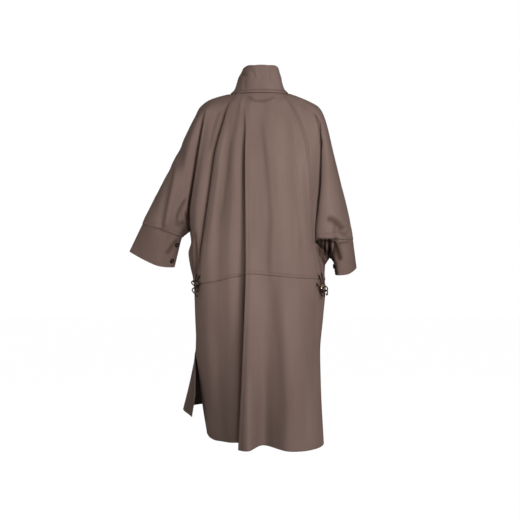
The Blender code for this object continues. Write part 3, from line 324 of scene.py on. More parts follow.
# Rows of the yoke, from the neck seam to the underarm, closer at the neck. The lengths here are about those of the
# leather, so that the first and last rows of each zone lie as near to its seam as the columns do.
YOKE_LENGTH, YOKE_ROWS, CLOSER_AT_NECK = 0.47, 112, 1.35
near_neck = NEAR_SEAM / YOKE_LENGTH
below_neck = np.linspace(0, 1, YOKE_ROWS)[1:] ** CLOSER_AT_NECK
yoke_rows = np.concatenate(([0.0], near_neck, near_neck[-1] + (1 - near_neck[-1]) * below_neck))
lines = []
for name in ORDER:
    rows = BODICE[name]
    ends_here = name in CREASES or name in IN_SLEEVE
    last = rows[-1][0] if ends_here else underarm(rows)
    lines.append(follow(rows, rows[0][0] + (last - rows[0][0]) * yoke_rows))
smooth = across(lines, neighbours(ORDER))
creased = []
cuts = [0] + [ORDER.index(name) for name in CREASES] + [len(ORDER) - 1]
for a, b in zip(cuts, cuts[1:]):
    creased += across(lines[a:b + 1], neighbours(ORDER[a:b + 1]))
sharpness = np.clip((yoke_rows - CREASE_FROM) / (CREASE_TO - CREASE_FROM), 0, 1)[:, None, None]
yoke = dict(zip(neighbours(ORDER), [s + (c - s) * sharpness for s, c in zip(smooth, creased)]))

# The body below the underarm: a closed zone down to the slit tops, then three loose panels. The cloth turns from
# creased to smooth over the first of these shares of the side's height, and to loose over the second one, the slit's.
ZONE_LENGTH, SMOOTH_BY, LOOSE_BY = 0.2, 0.35, 0.18
tables, waists, starts = {}, {}, {}
for name in TORSO:
    at_side = name in CREASES
    tables[name] = ((BODICE[name][-1],) + SIDE_SEAM[name[-1]] if at_side else BODICE[name])
    waists[name] = tables[name][-1][0]
    tables[name] += SKIRT[name]
    starts[name] = BODICE[name][-1][0] if at_side else underarm(BODICE[name])
ZONES = (   # name, rows, and the height of each line where the zone begins and ends
    ("side", 34, starts, waists), ("skirt", 56, waists, {n: SLIT_TOP for n in TORSO}),
    ("slit", 74, {n: SLIT_TOP for n in TORSO}, {n: tables[n][-1][0] for n in TORSO}))
body_runs = {}
for zone, count, top, bottom in ZONES:
    near = NEAR_SEAM / ZONE_LENGTH
    steps = np.linspace(0, 1, count + 1)
    if zone == "side":
        steps = np.concatenate((np.linspace(0, 1 - near[-1], count), 1 - near[:-1][::-1], [1.0]))
    if zone == "skirt":
        steps = np.concatenate(([0.0], near, near[-1] + (1 - near[-1]) * np.linspace(0, 1, count)[1:]))
    lines = {n: follow(tables[n], top[n] + (bottom[n] - top[n]) * steps) for n in TORSO}
    pairs = [pair for panel in PANELS for pair in neighbours(panel)]
    smooth = across([lines[n] for n in FRONT_L + BACK[1:-1] + FRONT_R], pairs)
    loose = [run for panel in PANELS for run in across([lines[n] for n in panel], neighbours(panel))]
    share = {"side": 1 - steps / SMOOTH_BY, "skirt": 0 * steps, "slit": steps / LOOSE_BY}[zone]
    share = eased(np.clip(share, 0, 1))[:, None, None]
    body_runs[zone] = dict(zip(pairs, [s + (c - s) * share for s, c in zip(smooth, loose)]))
for pair, run in body_runs["side"].items():
    run[0] = yoke[pair][-1]


def table_ring(table, names):
    """A closed ring of a sleeve's end, one array of a single row for each stretch."""
    points = [np.array([[table[n][1], table[n][2], table[n][0]]]) for n in names[:-1]]
    return dict(zip(neighbours(names), across(points, neighbours(names), closed=True)))


TUBE_ROWS, TUBE_LENGTH = {"l": 22, "r": 26}, 0.06
CUFF_ROWS, CUFF_LENGTH = 34, 0.1
tubes, cuffs = {}, {}
for side, names in SLEEVE.items():
    pairs = neighbours(names)
    seam, hem = (joined([table_ring(t, names)[p] for p in pairs])[0] for t in (CUFF_SEAM, CUFF_HEM))
    top = joined([yoke[p] for p in pairs])
    start, before = top[-1], top[-3]
    ahead = start - before
    ahead *= (np.linalg.norm(seam - start, axis=1) / np.maximum(1e-6, np.linalg.norm(ahead, axis=1)))[:, None]
    around = np.linspace(0, 1, len(start))
    free = (4 * around * (1 - around))[:, None] ** 2
    leave = ahead * free + (seam - start) * (1 - free)
    near = NEAR_SEAM / TUBE_LENGTH
    t = np.concatenate((np.linspace(0, 1 - near[-1], TUBE_ROWS[side]), 1 - near[:-1][::-1], [1.0]))[:, None, None]
    tubes[side] = curve(t, start, leave, seam, seam - start)
    near = NEAR_SEAM / CUFF_LENGTH
    t = np.concatenate(([0.0], near, np.linspace(near[-1], 1 - near[-1], CUFF_ROWS)[1:-1], 1 - near[::-1], [1.0]))
    cuffs[side] = seam + (hem - seam) * t[:, None, None]

# The collar's rings, from the neck seam to its top edge. Its two back corners stand up a little.
COLLAR_ROWS, CORNER_RISE = 30, 0.006
CORNER_X, CORNER_Y = (0.030, 0.045), (-0.03, 0.03)      # where the rise begins, and over what distance
neck = joined([yoke[p] for p in neighbours(ORDER)])[0]
collar_height = COLLAR[-1][0]
near = NEAR_SEAM
heights = np.concatenate(([0.0], near, np.linspace(near[-1], collar_height - near[1], COLLAR_ROWS)[1:-1],
                          [collar_height - near[1], collar_height - near[0], collar_height]))
shape = follow([(0.0, 1.0, 1.0, 0.0)] + [(-h, w, d, s) for h, w, d, s in COLLAR], -heights)
level = COLLAR_BACK[1] - COLLAR_TILT * (COLLAR_BACK[0] - neck[:, 1])
corner = (np.clip((np.abs(neck[:, 0]) - CORNER_X[0]) / CORNER_X[1], 0, 1)
          * np.clip((neck[:, 1] - CORNER_Y[0]) / CORNER_Y[1], 0, 1))
level = level + CORNER_RISE * eased(corner)
collar = np.stack([
    neck[None, :, 0] * shape[:, 0:1] + shape[:, 2:3],
    NECK_CENTRE_Y + (neck[None, :, 1] - NECK_CENTRE_Y) * shape[:, 1:2],
    neck[None, :, 2] + (level - neck[:, 2])[None, :] * heights[:, None] / collar_height + heights[:, None]], axis=-1)

# The sewn pieces.
PIECES = ["collar", "back_bodice", "back_skirt", "sleeve_back_l", "sleeve_front_l", "sleeve_back_r",
          "sleeve_front_r", "front_bodice_l", "front_bodice_r", "front_skirt_l", "front_skirt_r",
          "cuff_l", "cuff_r"]
# The piece that begins at each of these lines, above the waist seam and below it.
CUT = {"front_l": "front_bodice_l", "raglanf_l": "sleeve_front_l", "overarm_l": "sleeve_back_l",
       "raglan_l": "back_bodice", "raglan_r": "sleeve_back_r", "overarm_r": "sleeve_front_r",
       "raglanf_r": "front_bodice_r"}
SKIRT_CUT = {"front_l": "front_skirt_l", "fold_l": "back_skirt", "root_r": "front_skirt_r"}


def piece_at(pair, zone):
    """The number of the sewn piece that a stretch belongs to."""
    if pair == ("root_r", "edge_r") and zone == "sleeve":
        return PIECES.index("sleeve_front_r")
    cut = SKIRT_CUT if zone in ("skirt", "slit") else CUT
    begun = [name for name in ORDER[:ORDER.index(pair[0]) + 1] if name in cut]
    return PIECES.index(cut[begun[-1]])


def lay(bm, rows, numbers):
    """A grid laid on rows of points, its columns marked with their pieces' numbers."""
    height, width = rows.shape[:2]
    made = bmesh.ops.create_grid(bm, x_segments=width - 1, y_segments=height - 1, size=1.0)
    for face in {f for v in made["verts"] for f in v.link_faces}:
        column = int((face.calc_center_median().x + 1) / 2 * (width - 1))
        face.material_index = numbers[min(column, width - 2)]
    for v in made["verts"]:
        column = round((v.co.x + 1) / 2 * (width - 1))
        row = round((1 - v.co.y) / 2 * (height - 1))
        v.co = rows[row, column]


def numbers_of(runs, zone):
    """The piece's number for each column of some stretches."""
    return [piece_at(pair, zone) for pair, run in runs.items() for column in range(run.shape[1] - 1)]


skin = bmesh.new()
lay(skin, joined(list(yoke.values())), numbers_of(yoke, "yoke"))
for zone, runs in body_runs.items():
    for panel in PANELS:
        own = {pair: runs[pair] for pair in neighbours(panel)}
        lay(skin, joined(list(own.values())), numbers_of(own, zone))
for side, names in SLEEVE.items():
    own = {pair: yoke[pair] for pair in neighbours(names)}
    lay(skin, tubes[side], numbers_of(own, "sleeve"))
    lay(skin, cuffs[side], [PIECES.index("cuff_" + side)] * (cuffs[side].shape[1] - 1))
lay(skin, collar, [0] * (collar.shape[1] - 1))
bmesh.ops.remove_doubles(skin, verts=skin.verts, dist=0.00002)
bmesh.ops.recalc_face_normals(skin, faces=skin.faces)

# How the seams are sewn. Both edges are turned to one side and stitched down twice, which lifts that side in a
# flat ridge; beside the seam itself the leather dips. Distance from the seam and height, in millimetres.
RIDGE = ((0.0, -0.7), (0.8, 1.0), (2.2, 0.85), (4.6, 1.35), (7.6, 0.9), (9.6, 0.2), (14.0, 0.0))
BESIDE = ((0.0, -0.7), (0.8, -0.5), (4.6, -0.15), (9.6, 0.0), (14.0, 0.0))
RIDGE_REACH = 0.018


def seam_of(name):
    """The points of a seam that runs down one of the lines."""
    run = next(p for p in yoke if name in p)
    column = 0 if run[0] == name else -1
    points = [yoke[run][:, column]]
    if run in body_runs["side"]:
        points.append(body_runs["side"][run][:, column])
    return np.concatenate(points)


def tube_column(side, name):
    """The column of a sleeve's mesh that runs down one of its lines."""
    names = SLEEVE[side]
    return sum(yoke[pair].shape[1] - 1 for pair in neighbours(names)[:names.index(name)])


waist = np.concatenate([run[0] for run in body_runs["skirt"].values()])
overarm = {side: np.concatenate((yoke[pair][:, column], tubes[side][:, tube_column(side, "overarm_" + side)]))
           for side, pair, column in (("l", ("overarm_l", "arm_l"), 0), ("r", ("arm_r", "overarm_r"), -1))}
# A seam's last column sets how dark its line is painted: partly a dark joint, partly painted shade in its groove.
SEAMS = (   # points, the pieces on the raised side, how wide the ridge is against a raglan's, how dark the seam
    (neck, {"collar"}, 1.25, 0.8),
    (waist, {"back_bodice", "sleeve_back_l", "sleeve_back_r", "sleeve_front_l", "sleeve_front_r", "front_bodice_l",
             "front_bodice_r"}, 1.15, 0.55),
    (seam_of("raglan_l"), {"back_bodice"}, 1.0, 0.7), (seam_of("raglan_r"), {"back_bodice"}, 1.0, 0.6),
    (seam_of("raglanf_l"), {"front_bodice_l"}, 1.0, 0.7), (seam_of("raglanf_r"), {"front_bodice_r"}, 1.0, 0.7),
    (overarm["l"], {"sleeve_back_l"}, 1.0, 0.6), (overarm["r"], {"sleeve_back_r"}, 1.0, 0.6),
    (tubes["l"][-1], {"sleeve_back_l", "sleeve_front_l"}, 1.0, 0.4),
    (tubes["r"][-1], {"sleeve_back_r", "sleeve_front_r"}, 1.0, 0.5))

# Folds that the leather takes where it hangs from the shoulders and the underarms, each along a route on the coat.
# Soft ones are rounded, sharp ones have a narrow valley, which also gets painted shade. Beside it stands a lip, as a
# share of the depth: on the wearer's left of a route that runs down where that is above zero, on the right where it
# is below.
# Each row is: route as (x, z), half width and depth, in millimetres; whether it is sharp; its lip.
FOLDS = {"back": (
    (((64, -34), (55, -70), (52, -120), (54, -205), (54, -302), (53, -399), (52, -495), (52, -607), (61, -860),
      (67, -1000), (75, -1160), (84, -1380)), 3.6, 13, True, -0.25),
    (((182, -50), (186, -80), (192, -115), (205, -197), (220, -295), (236, -393), (238, -440),
      (236, -490)), 3.4, 10, True, -0.3),
    (((246, -390), (242, -430), (238, -460), (237, -495)), 3.6, 6.5, True, 0.5),
    (((250, -444), (247, -460), (245, -480)), 2.4, 4, True, 0.6),
    (((257, -456), (255, -468), (252, -486)), 2.2, 3.6, True, 0.6),
    (((264, -464), (263, -474), (259, -490)), 2.2, 3, True, 0.6),
    (((-174, -66), (-190, -100), (-199, -140), (-201, -200)), 3, 4.8, True, -0.3),
    (((77, -7), (105, -46), (125, -113), (149, -202), (163, -299), (177, -396), (189, -477), (197, -526),
      (206, -630)), 4.2, 8.5, True, -0.2),
    (((126, -56), (138, -90), (152, -138), (166, -215)), 5.5, 3.4, True, -0.4),
    (((89, -41), (98, -97), (104, -193), (120, -349), (142, -494)), 8, 2.2, True, -0.3),
    (((3, -65), (-11, -186), (-30, -412), (-26, -565), (-33, -658)), 7, 2.4, True, -0.3),
    (((-56, -20), (-69, -50), (-91, -118), (-101, -204), (-113, -302), (-124, -399), (-133, -479),
      (-138, -618)), 8, 2.4, False, -0.5),
    (((-29, -600), (-45, -760), (-57, -871), (-64, -1124)), 17, 2.4, False, -0.2),
    (((-142, -230), (-151, -330), (-158, -470)), 7, 1.6, False, -0.5),
    (((28, -330), (20, -500), (22, -610)), 10, 1.4, False, 0),
    # the left sleeve, above its cuff
    (((292, -235), (303, -310), (318, -385), (327, -440), (328, -485)), 10, 9, False, -0.5),
    (((240, -352), (258, -384), (272, -414), (276, -448)), 4.6, 4.4, True, 0.9),
    (((250, -432), (266, -440), (280, -452)), 5, 3.5, True, 0.5),
    (((275, -150), (262, -230), (262, -320)), 16, 3.5, False, -0.3),
    (((352, -452), (335, -458), (318, -466)), 4, 1.8, True, -0.4),
    (((274, -486), (294, -515), (314, -544)), 5, 4.2, True, 0.7),
    # the right sleeve, above its cuff, and the cuff's own fold
    (((-212, -424), (-232, -428), (-254, -440), (-280, -464)), 8, 6.6, True, -0.8),
    (((-247, -435), (-245, -460), (-248, -495)), 5, 4, True, 0.6),
    (((-252, -458), (-270, -470), (-296, -476)), 9, 3.6, True, -0.7),
    (((-252, -508), (-272, -504), (-296, -500)), 4.5, 2.8, True, -0.6),
    (((-246, -500), (-256, -532), (-268, -566)), 6.5, 8.5, True, 0.7),
    (((-262, -492), (-285, -488), (-300, -486)), 5, 2.2, True, 0.4),
    (((-250, -488), (-251, -550), (-257, -615)), 5, -4, True, 0),
    # leather gathered up under the arms, and the edge that the right sleeve folds down over it
    (((-176, -486), (-213, -486), (-252, -486)), 5, -3.5, False, 0),
    (((-180, -474), (-213, -474), (-246, -474)), 3, 1.8, True, 0),
    (((-176, -500), (-213, -500), (-252, -499)), 4, 11, True, 0),
    (((-200, -490), (-202, -520), (-206, -556)), 2.6, 11, True, -0.8),
    (((-213, -490), (-215, -520), (-220, -556)), 2.6, 12, True, -0.8),
    (((-226, -490), (-230, -520), (-231, -556)), 4.5, 15, True, -0.6),
    (((-190, -500), (-200, -530), (-213, -570), (-219, -630)), 4, 7, True, -0.6),
    (((-219, -556), (-219.5, -600), (-219, -650)), 3.6, 9, True, 0.3),
    (((-244, -546), (-246.5, -570), (-253, -612)), 4.2, 6, True, 0.3),
    (((-206, -500), (-209.5, -530), (-214.5, -556), (-218.5, -585)), 2.8, 10, True, 0.4),
    (((-183, -510), (-192, -545), (-202, -585), (-206, -625)), 3.6, 4.5, True, 0.5),
    # and gathers down the wearer's left side, from the underarm to the tie
    (((222, -470), (223, -530), (218, -625)), 3.4, 6, True, -0.6),
    (((214, -455), (211, -530), (212, -620)), 3.4, 7, True, 0.6),
    # the collar, where it leans out at the wearer's left
    (((64, 60), (53, 56), (44, 50)), 5, 3.5, True, 0.3),
    (((50, -16), (22, -34), (-18, -36), (-54, -16)), 5, 2.8, True, 0.4),
    (((10, 66), (-2, 52), (-10, 34)), 6, 1.8, False, 0.4),
    (((-32, 70), (-40, 50), (-46, 26)), 6, 2.2, False, 0.4),
    (((34, 70), (22, 58), (20, 36)), 5, 1.6, False, -0.4),
    (((52, 40), (50, 26), (54, 12)), 4.5, 1.8, True, 0.4),
), "front": (
    # the front, which hangs straighter
    (((78, -60), (92, -160), (98, -330), (94, -560)), 11, 5, False, 0.4),
    (((-84, -70), (-98, -180), (-106, -350), (-100, -600)), 12, 5, False, -0.4),
    (((22, -140), (34, -300), (30, -520)), 9, 2.6, False, 0.4),
    (((-60, -110), (-70, -220), (-64, -400)), 8, 3, True, -0.5),
    (((142, -180), (156, -310), (168, -450), (172, -610)), 9, 6, True, 0.5),
    (((-150, -170), (-160, -320), (-168, -460), (-172, -600)), 8, 6.5, True, -0.5),
    (((180, -60), (192, -130), (207, -240), (226, -370), (238, -445)), 4.2, 10, True, 0.3),
    (((-176, -80), (-190, -120), (-200, -220), (-206, -360), (-216, -470)), 4.2, 10, True, -0.3),
    (((112, -660), (118, -820), (134, -1040)), 13, 6, False, 0.4),
    (((-104, -650), (-116, -840), (-120, -1030)), 12, 5.5, False, -0.4),
    (((50, -700), (46, -850), (52, -1010)), 10, 3, False, -0.3),
    (((-164, -660), (-168, -760), (-164, -900)), 8, 4.5, True, 0.4),
    (((182, -650), (190, -760), (205, -900)), 8, 5, True, -0.4),
    (((330, -330), (318, -390), (312, -450)), 10, 6, False, 0.5),
    (((262, -300), (280, -370), (300, -430)), 8, 5, True, -0.5),
    (((-262, -300), (-272, -380), (-282, -450)), 9, 6, False, -0.5),
    (((-232, -390), (-250, -440), (-276, -470)), 6, 4.5, True, 0.5),
)}
TAPER, TAPER_LONGEST = 0.18, 0.220      # a fold fades out over this share of its length, or this length at most
TURNED_FROM, TURNED_OVER = -0.35, 0.5   # a face takes folds from this turn on, and fully after that much more
REACH = 6                               # half widths from the route that a fold reaches
LIP_AT, LIP_WIDTH = 1.9, 1.1            # half widths from the route
DARKEST = 0.010                         # depth at which a sharp fold is fully dark


def folded(points, normals):
    """How far each point is moved along its normal by the folds, and how deep in a sharp fold it lies, 0 to 1, which
    is painted on as shade.
    """
    move, fold_shade = np.zeros(len(points)), np.zeros(len(points))
    flat = points[:, [0, 2]]
    for face, (route, half, depth, sharp, lip) in [(face, fold) for face in FOLDS for fold in FOLDS[face]]:
        half, depth = half / 1000, depth / 1000
        way = normals[:, 1] if face == "back" else -normals[:, 1]
        facing = np.clip((way - TURNED_FROM) / TURNED_OVER, 0, 1)
        line = np.array([(p.x, p.z) for p in through([Vector((x, 0.0, z)) for x, z in metres(route)], 10)])
        near = np.flatnonzero((facing > 0) & np.all(flat > line.min(0) - REACH * half, axis=1)
                              & np.all(flat < line.max(0) + REACH * half, axis=1))
        if not len(near):
            continue
        run = np.concatenate(([0.0], np.cumsum(np.linalg.norm(np.diff(line, axis=0), axis=1))))
        best, along, offset = np.full(len(near), np.inf), np.zeros(len(near)), np.zeros(len(near))
        for k, (a, b) in enumerate(zip(line, line[1:])):
            step = b - a
            length = np.linalg.norm(step)
            t = np.clip((flat[near] - a) @ step / length**2, 0, 1)
            away = flat[near] - a - t[:, None] * step
            distance = np.linalg.norm(away, axis=1)
            closer = distance < best
            best[closer], along[closer] = distance[closer], (run[k] + t * length)[closer]
            offset[closer] = ((away[:, 0] * step[1] - away[:, 1] * step[0]) / length)[closer]
        fade = min(TAPER * run[-1], TAPER_LONGEST)
        taper = eased(np.clip(along / fade, 0, 1) * np.clip((run[-1] - along) / fade, 0, 1))
        u = best / half
        valley = np.exp(-u) * (1 - np.exp(-2.5 * u) * 0.15) if sharp else np.exp(-u * u)
        signed = -np.sign(offset) * u * np.sign(lip)      # above zero on the side that the lip stands on
        rise = abs(lip) * np.exp(-((signed - LIP_AT) / LIP_WIDTH) ** 2)
        move[near] += depth * taper * facing[near] * (rise - valley)
        # Painted shade: a sharp fold's valley is darkened, more where it is deeper and where it faces the back.
        if sharp and depth > 0:
            dark = min(1.0, depth / DARKEST) * taper * np.clip(way[near] / 0.4, 0, 1) * np.exp(-u * u * 0.7)
            fold_shade[near] = np.maximum(fold_shade[near], dark)
    return move, fold_shade


skin.verts.ensure_lookup_table()
skin.normal_update()
points = np.array([v.co for v in skin.verts])
normals = np.array([v.normal for v in skin.verts])
pieces_here = [{f.material_index for f in v.link_faces} for v in skin.verts]
move, shade_and_seam_darkness = folded(points, normals)
for v, p, n, amount in zip(skin.verts, points, normals, move):
    v.co = p + n * amount
skin.normal_update()

SEAMS = [(points_there, {PIECES.index(n) for n in raised}, *rest) for points_there, raised, *rest in SEAMS]
seam_number = [number for number, seam in enumerate(SEAMS) for p in seam[0]]
seam_points = KDTree(len(seam_number))
for k, p in enumerate(p for seam in SEAMS for p in seam[0]):
    seam_points.insert(p, k)
seam_points.balance()
relief = np.zeros(len(points))
for k, p in enumerate(points):
    spot, index, distance = seam_points.find(p)
    if distance > RIDGE_REACH:
        continue
    raised, ridge_width, dark = SEAMS[seam_number[index]][1:]
    lifted = pieces_here[k] <= raised
    relief[k] = np.interp(distance * 1000 / ridge_width, *zip(*(RIDGE if lifted else BESIDE))) * 0.001
    # Painted shade along each seam: the seam line is darkened, partly a dark joint and partly shade in its groove,
    # and a fainter band of painted shade lies where the raised ridge steps down.
    shade_and_seam_darkness[k] = max(shade_and_seam_darkness[k], dark - distance / 0.002)
    if lifted:      # and a fainter shade where the ridge ends
        shade_and_seam_darkness[k] = max(shade_and_seam_darkness[k], dark * 0.65 - abs(distance - NEAR_SEAM[-1]) / 0.006)
# Painted shade: the colour is darker in a sharp crease; along a seam, partly a dark joint and partly painted shade,
# and where the ridge steps down under a row of stitches; and all over the cuffs, which are painted darker as if in
# shade.
CUFF_SHADE, SHADED_CUFFS = 0.22, {PIECES.index("cuff_l"), PIECES.index("cuff_r")}
shade_and_seams = skin.verts.layers.float.new("shade_and_seams")
for v, amount, dark, belongs in zip(skin.verts, relief, shade_and_seam_darkness, pieces_here):
    v.co += v.normal * amount
    v[shade_and_seams] = max(0.0, dark) + (CUFF_SHADE if belongs <= SHADED_CUFFS else 0.0)

# The coat's leather: matt, fine-grained, taupe, and cut into its thirteen pieces. Each gets its wall here, with the
# flesh side inside and painted cut edges.


def toned(name, scale, dark, light, span=(0.0, 1.0), detail=2.0, roughness=0.5, specular=0.5):
    """A material that runs between two tones by noise, with its node tree, noise and tone for what is added."""
    material = bpy.data.materials.new(name)
    material.use_nodes = True
    tree = material.node_tree
    shader = tree.nodes["Principled BSDF"]
    shader.inputs["Roughness"].default_value = roughness
    shader.inputs["Specular IOR Level"].default_value = specular
    place = tree.nodes.new("ShaderNodeTexCoord")
    noise = tree.nodes.new("ShaderNodeTexNoise")
    noise.inputs["Scale"].default_value = scale
    noise.inputs["Detail"].default_value = detail
    tone = tree.nodes.new("ShaderNodeValToRGB")
    for end, at, colour in zip(tone.color_ramp.elements, span, (dark, light)):
        end.position, end.color = at, (*colour, 1.0)
    tree.links.new(place.outputs["Object"], noise.inputs["Vector"])
    tree.links.new(noise.outputs["Fac"], tone.inputs["Fac"])
    tree.links.new(tone.outputs["Color"], shader.inputs["Base Color"])
    return material, tree, noise, tone


def dulled(tree, noise, dark, light):
    """Roughness that follows the noise, from the dark tone to the light one."""
    dulling = tree.nodes.new("ShaderNodeMapRange")
    dulling.inputs["To Min"].default_value = dark
    dulling.inputs["To Max"].default_value = light
    tree.links.new(noise.outputs["Fac"], dulling.inputs["Value"])
    tree.links.new(dulling.outputs["Result"], tree.nodes["Principled BSDF"].inputs["Roughness"])


def bumped(tree, height, strength):
    """A fine relief of 0.3 mm from a texture."""
    bump = tree.nodes.new("ShaderNodeBump")
    bump.inputs["Strength"].default_value = strength
    bump.inputs["Distance"].default_value = 0.0003
    tree.links.new(height, bump.inputs["Height"])
    tree.links.new(bump.outputs["Normal"], tree.nodes["Principled BSDF"].inputs["Normal"])


# The grain side: broad patches are a little lighter or darker, and run down with the leather's hang.
leather, tree, patches, tone = toned("taupe_leather", 7.0, (0.119, 0.081, 0.069), (0.147, 0.102, 0.088), (0.30, 0.70),
                                     detail=5.0, specular=0.08)
hanging = tree.nodes.new("ShaderNodeMapping")
hanging.inputs["Scale"].default_value = (2.6, 1.4, 0.5)
grain = tree.nodes.new("ShaderNodeTexVoronoi")
grain.feature = "DISTANCE_TO_EDGE"
grain.inputs["Scale"].default_value = 520.0
# Painted shade: an attribute mixes the tone towards near black in sharp creases, along seams (partly dark joints) and
# on the cuffs.
reads_shade_and_seams = tree.nodes.new("ShaderNodeAttribute")
reads_shade_and_seams.attribute_name = "shade_and_seams"
shade_and_seam_mix = tree.nodes.new("ShaderNodeMix")
shade_and_seam_mix.data_type = "RGBA"
shade_and_seam_mix.inputs["B"].default_value = (0.030, 0.015, 0.009, 1.0)
place = tree.nodes["Texture Coordinate"]
tree.links.new(place.outputs["Object"], hanging.inputs["Vector"])
tree.links.new(hanging.outputs["Vector"], patches.inputs["Vector"])
tree.links.new(place.outputs["Object"], grain.inputs["Vector"])
tree.links.new(reads_shade_and_seams.outputs["Fac"], shade_and_seam_mix.inputs["Factor"])
tree.links.new(tone.outputs["Color"], shade_and_seam_mix.inputs["A"])
tree.links.new(shade_and_seam_mix.outputs["Result"], tree.nodes["Principled BSDF"].inputs["Base Color"])
dulled(tree, patches, 0.74, 0.86)
bumped(tree, grain.outputs["Distance"], 0.25)
# The flesh side, suede painted near black as painted shade for the inside of the coat, which shows inside the collar,
# the cuffs, the slits and the hem; and the edge paint.
suede_and_shade = toned("flesh_side_painted_shade", 60.0, (0.011, 0.007, 0.006), (0.021, 0.013, 0.011), (0.30, 0.75), detail=6.0,
              roughness=0.92, specular=0.05)[0]
edge_paint = toned("edge_paint", 240.0, (0.014, 0.009, 0.007), (0.034, 0.022, 0.018), roughness=0.45)[0]


def fixed(obj, node=None):
    """The object rides on the coat's one body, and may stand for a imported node."""
    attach(obj, "root")
    if node:
        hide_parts(node)
    return obj


WALL = 0.0018
skin.normal_update()
for number, name in enumerate(PIECES):
    piece = skin.copy()
    bmesh.ops.delete(piece, geom=[f for f in piece.faces if f.material_index != number], context="FACES")
    for face in piece.faces:
        face.material_index = 0
    obj = finished(name + "_leather", piece, [leather, suede_and_shade, edge_paint])
    wall = obj.modifiers.new("wall", "SOLIDIFY")
    wall.thickness = WALL
    wall.offset = -1.0
    wall.material_offset = 1
    wall.material_offset_rim = 2
    fixed(obj, name)

# The topstitching: thick waxed thread a little darker than the leather, in rows beside the seams and along the free
# edges, one stitch every 4.5 mm. Each row is laid on the leather where the two rows of the seam's ridge dip.
PITCH, STITCH_LENGTH, THREAD = 0.0045, 0.0033, 0.00042
thread = toned("waxed_thread", 1400.0, (0.045, 0.028, 0.021), (0.105, 0.070, 0.055), roughness=0.6)[0]


def even(points, step):
    """The same line with points an even step apart."""
    lengths = [0.0]
    for a, b in zip(points, points[1:]):
        lengths.append(lengths[-1] + (b - a).length)
    count = max(2, round(lengths[-1] / step))
    wanted = np.linspace(0.0, lengths[-1], count + 1)
    axes = [np.interp(wanted, lengths, [p[k] for p in points]) for k in range(3)]
    return [Vector(p) for p in zip(*axes)], lengths[-1]


INNER, OUTER = 2, 4          # the near columns in which the two rows of stitches lie


def beside(zones, pair, before):
    """The two rows of stitches after a stretch's first line, or before its last one, down the zones of the coat."""
    return [[p for runs in zones for p in runs[pair][:, -1 - n if before else n]] for n in (INNER, OUTER)]


def sewn_row(name, routes):
    """Stitches along routes on the leather."""
    bm = bmesh.new()
    for route in routes:
        line, length = even([surface.find_nearest(Vector(p))[0] for p in route], PITCH)
        for a, b in zip(line, line[1:]):
            spot, normal = surface.find_nearest((a + b) / 2)[:2]
            ahead = (b - a).normalized()
            side = normal.cross(ahead).normalized()
            turn = Matrix((ahead, side, ahead.cross(side))).transposed().to_4x4()
            size = Matrix.Diagonal((STITCH_LENGTH / 2, THREAD, THREAD, 1.0))
            bmesh.ops.create_icosphere(bm, subdivisions=1, radius=1.0,
                                       matrix=Matrix.Translation(spot + normal * THREAD * 0.4) @ turn @ size)
    fixed(finished(name, bm, [thread]))


surface = BVHTree.FromBMesh(skin)
torso = (yoke, body_runs["side"])
whole = (yoke, body_runs["side"], body_runs["skirt"], body_runs["slit"])
for side, back, front, over, edge in (
        ("l", ("raglan_l", "crest1"), ("chest_l", "raglanf_l"), ("overarm_l", "arm_l"), ("front_l", "lapel_l")),
        ("r", ("crest5", "raglan_r"), ("raglanf_r", "chest_r"), ("arm_r", "overarm_r"), ("lapel_r", "front_r"))):
    right = side == "r"
    seam_column, way = tube_column(side, "overarm_" + side), -1 if right else 1
    sewn_row(f"stitches_raglan_{side}", beside(torso, back, right))
    sewn_row(f"stitches_front_raglan_{side}", beside(torso, front, not right))
    sewn_row(f"stitches_overarm_{side}",
             [row + list(tubes[side][:, seam_column + n * way])
              for row, n in zip(beside((yoke,), over, right), (INNER, OUTER))])
    sewn_row(f"stitches_cuff_seam_{side}", [tubes[side][-1 - n] for n in (INNER, OUTER)])
    sewn_row(f"stitches_cuff_hem_{side}", [cuffs[side][-1 - OUTER]])
    sewn_row(f"stitches_front_edge_{side}", beside(whole, edge, right))
sewn_row("stitches_collar_seam", [collar[n] for n in (INNER, OUTER + 1)])
sewn_row("stitches_waist_seam", [np.concatenate([body_runs["side"][pair][-1 - n] for pair in neighbours(panel)])
                                 for panel in PANELS for n in (INNER, OUTER)])
# One more row lies on the right sleeve, above the edge that folds down over the underarm.
EDGE_ROW = [(-0.183, -0.478), (-0.200, -0.4775), (-0.220, -0.477), (-0.242, -0.477)]
sewn_row("stitches_sleeve_edge_r",
         [[surface.ray_cast(Vector((x, 0.4, z)), Vector((0.0, -1.0, 0.0)))[0] for x, z in EDGE_ROW]])

# The buttons: dark horn with a raised rim, a dished middle and four holes, sewn on with thread. Six close the front
# and two stand on each cuff's placket.
horn, tree, veins, tone = toned("dark_horn", 160.0, (0.006, 0.004, 0.004), (0.026, 0.014, 0.009), (0.38, 0.78),
                                detail=6.0, roughness=0.45, specular=0.16)
veins.inputs["Distortion"].default_value = 1.6


def turned(bm, profile, axis, place, sides=32):
    """A turned piece: a profile of radius and height pairs, spun round the axis at its place."""
    old = set(bm.verts)
    points = [bm.verts.new((r, 0.0, h)) for r, h in profile]
    line = [bm.edges.new(pair) for pair in zip(points, points[1:])]
    bmesh.ops.spin(bm, geom=points + line, cent=(0, 0, 0), axis=(0, 0, 1), angle=2 * math.pi, steps=sides,
                   use_merge=True)
    bmesh.ops.remove_doubles(bm, verts=[v for v in bm.verts if v not in old], dist=1e-6)
    new = [v for v in bm.verts if v not in old]
    bmesh.ops.recalc_face_normals(bm, faces=list({f for v in new for f in v.link_faces}))
    turn = Vector((0.0, 0.0, 1.0)).rotation_difference(Vector(axis)).to_matrix().to_4x4()
    bmesh.ops.transform(bm, matrix=Matrix.Translation(place) @ turn, verts=new)


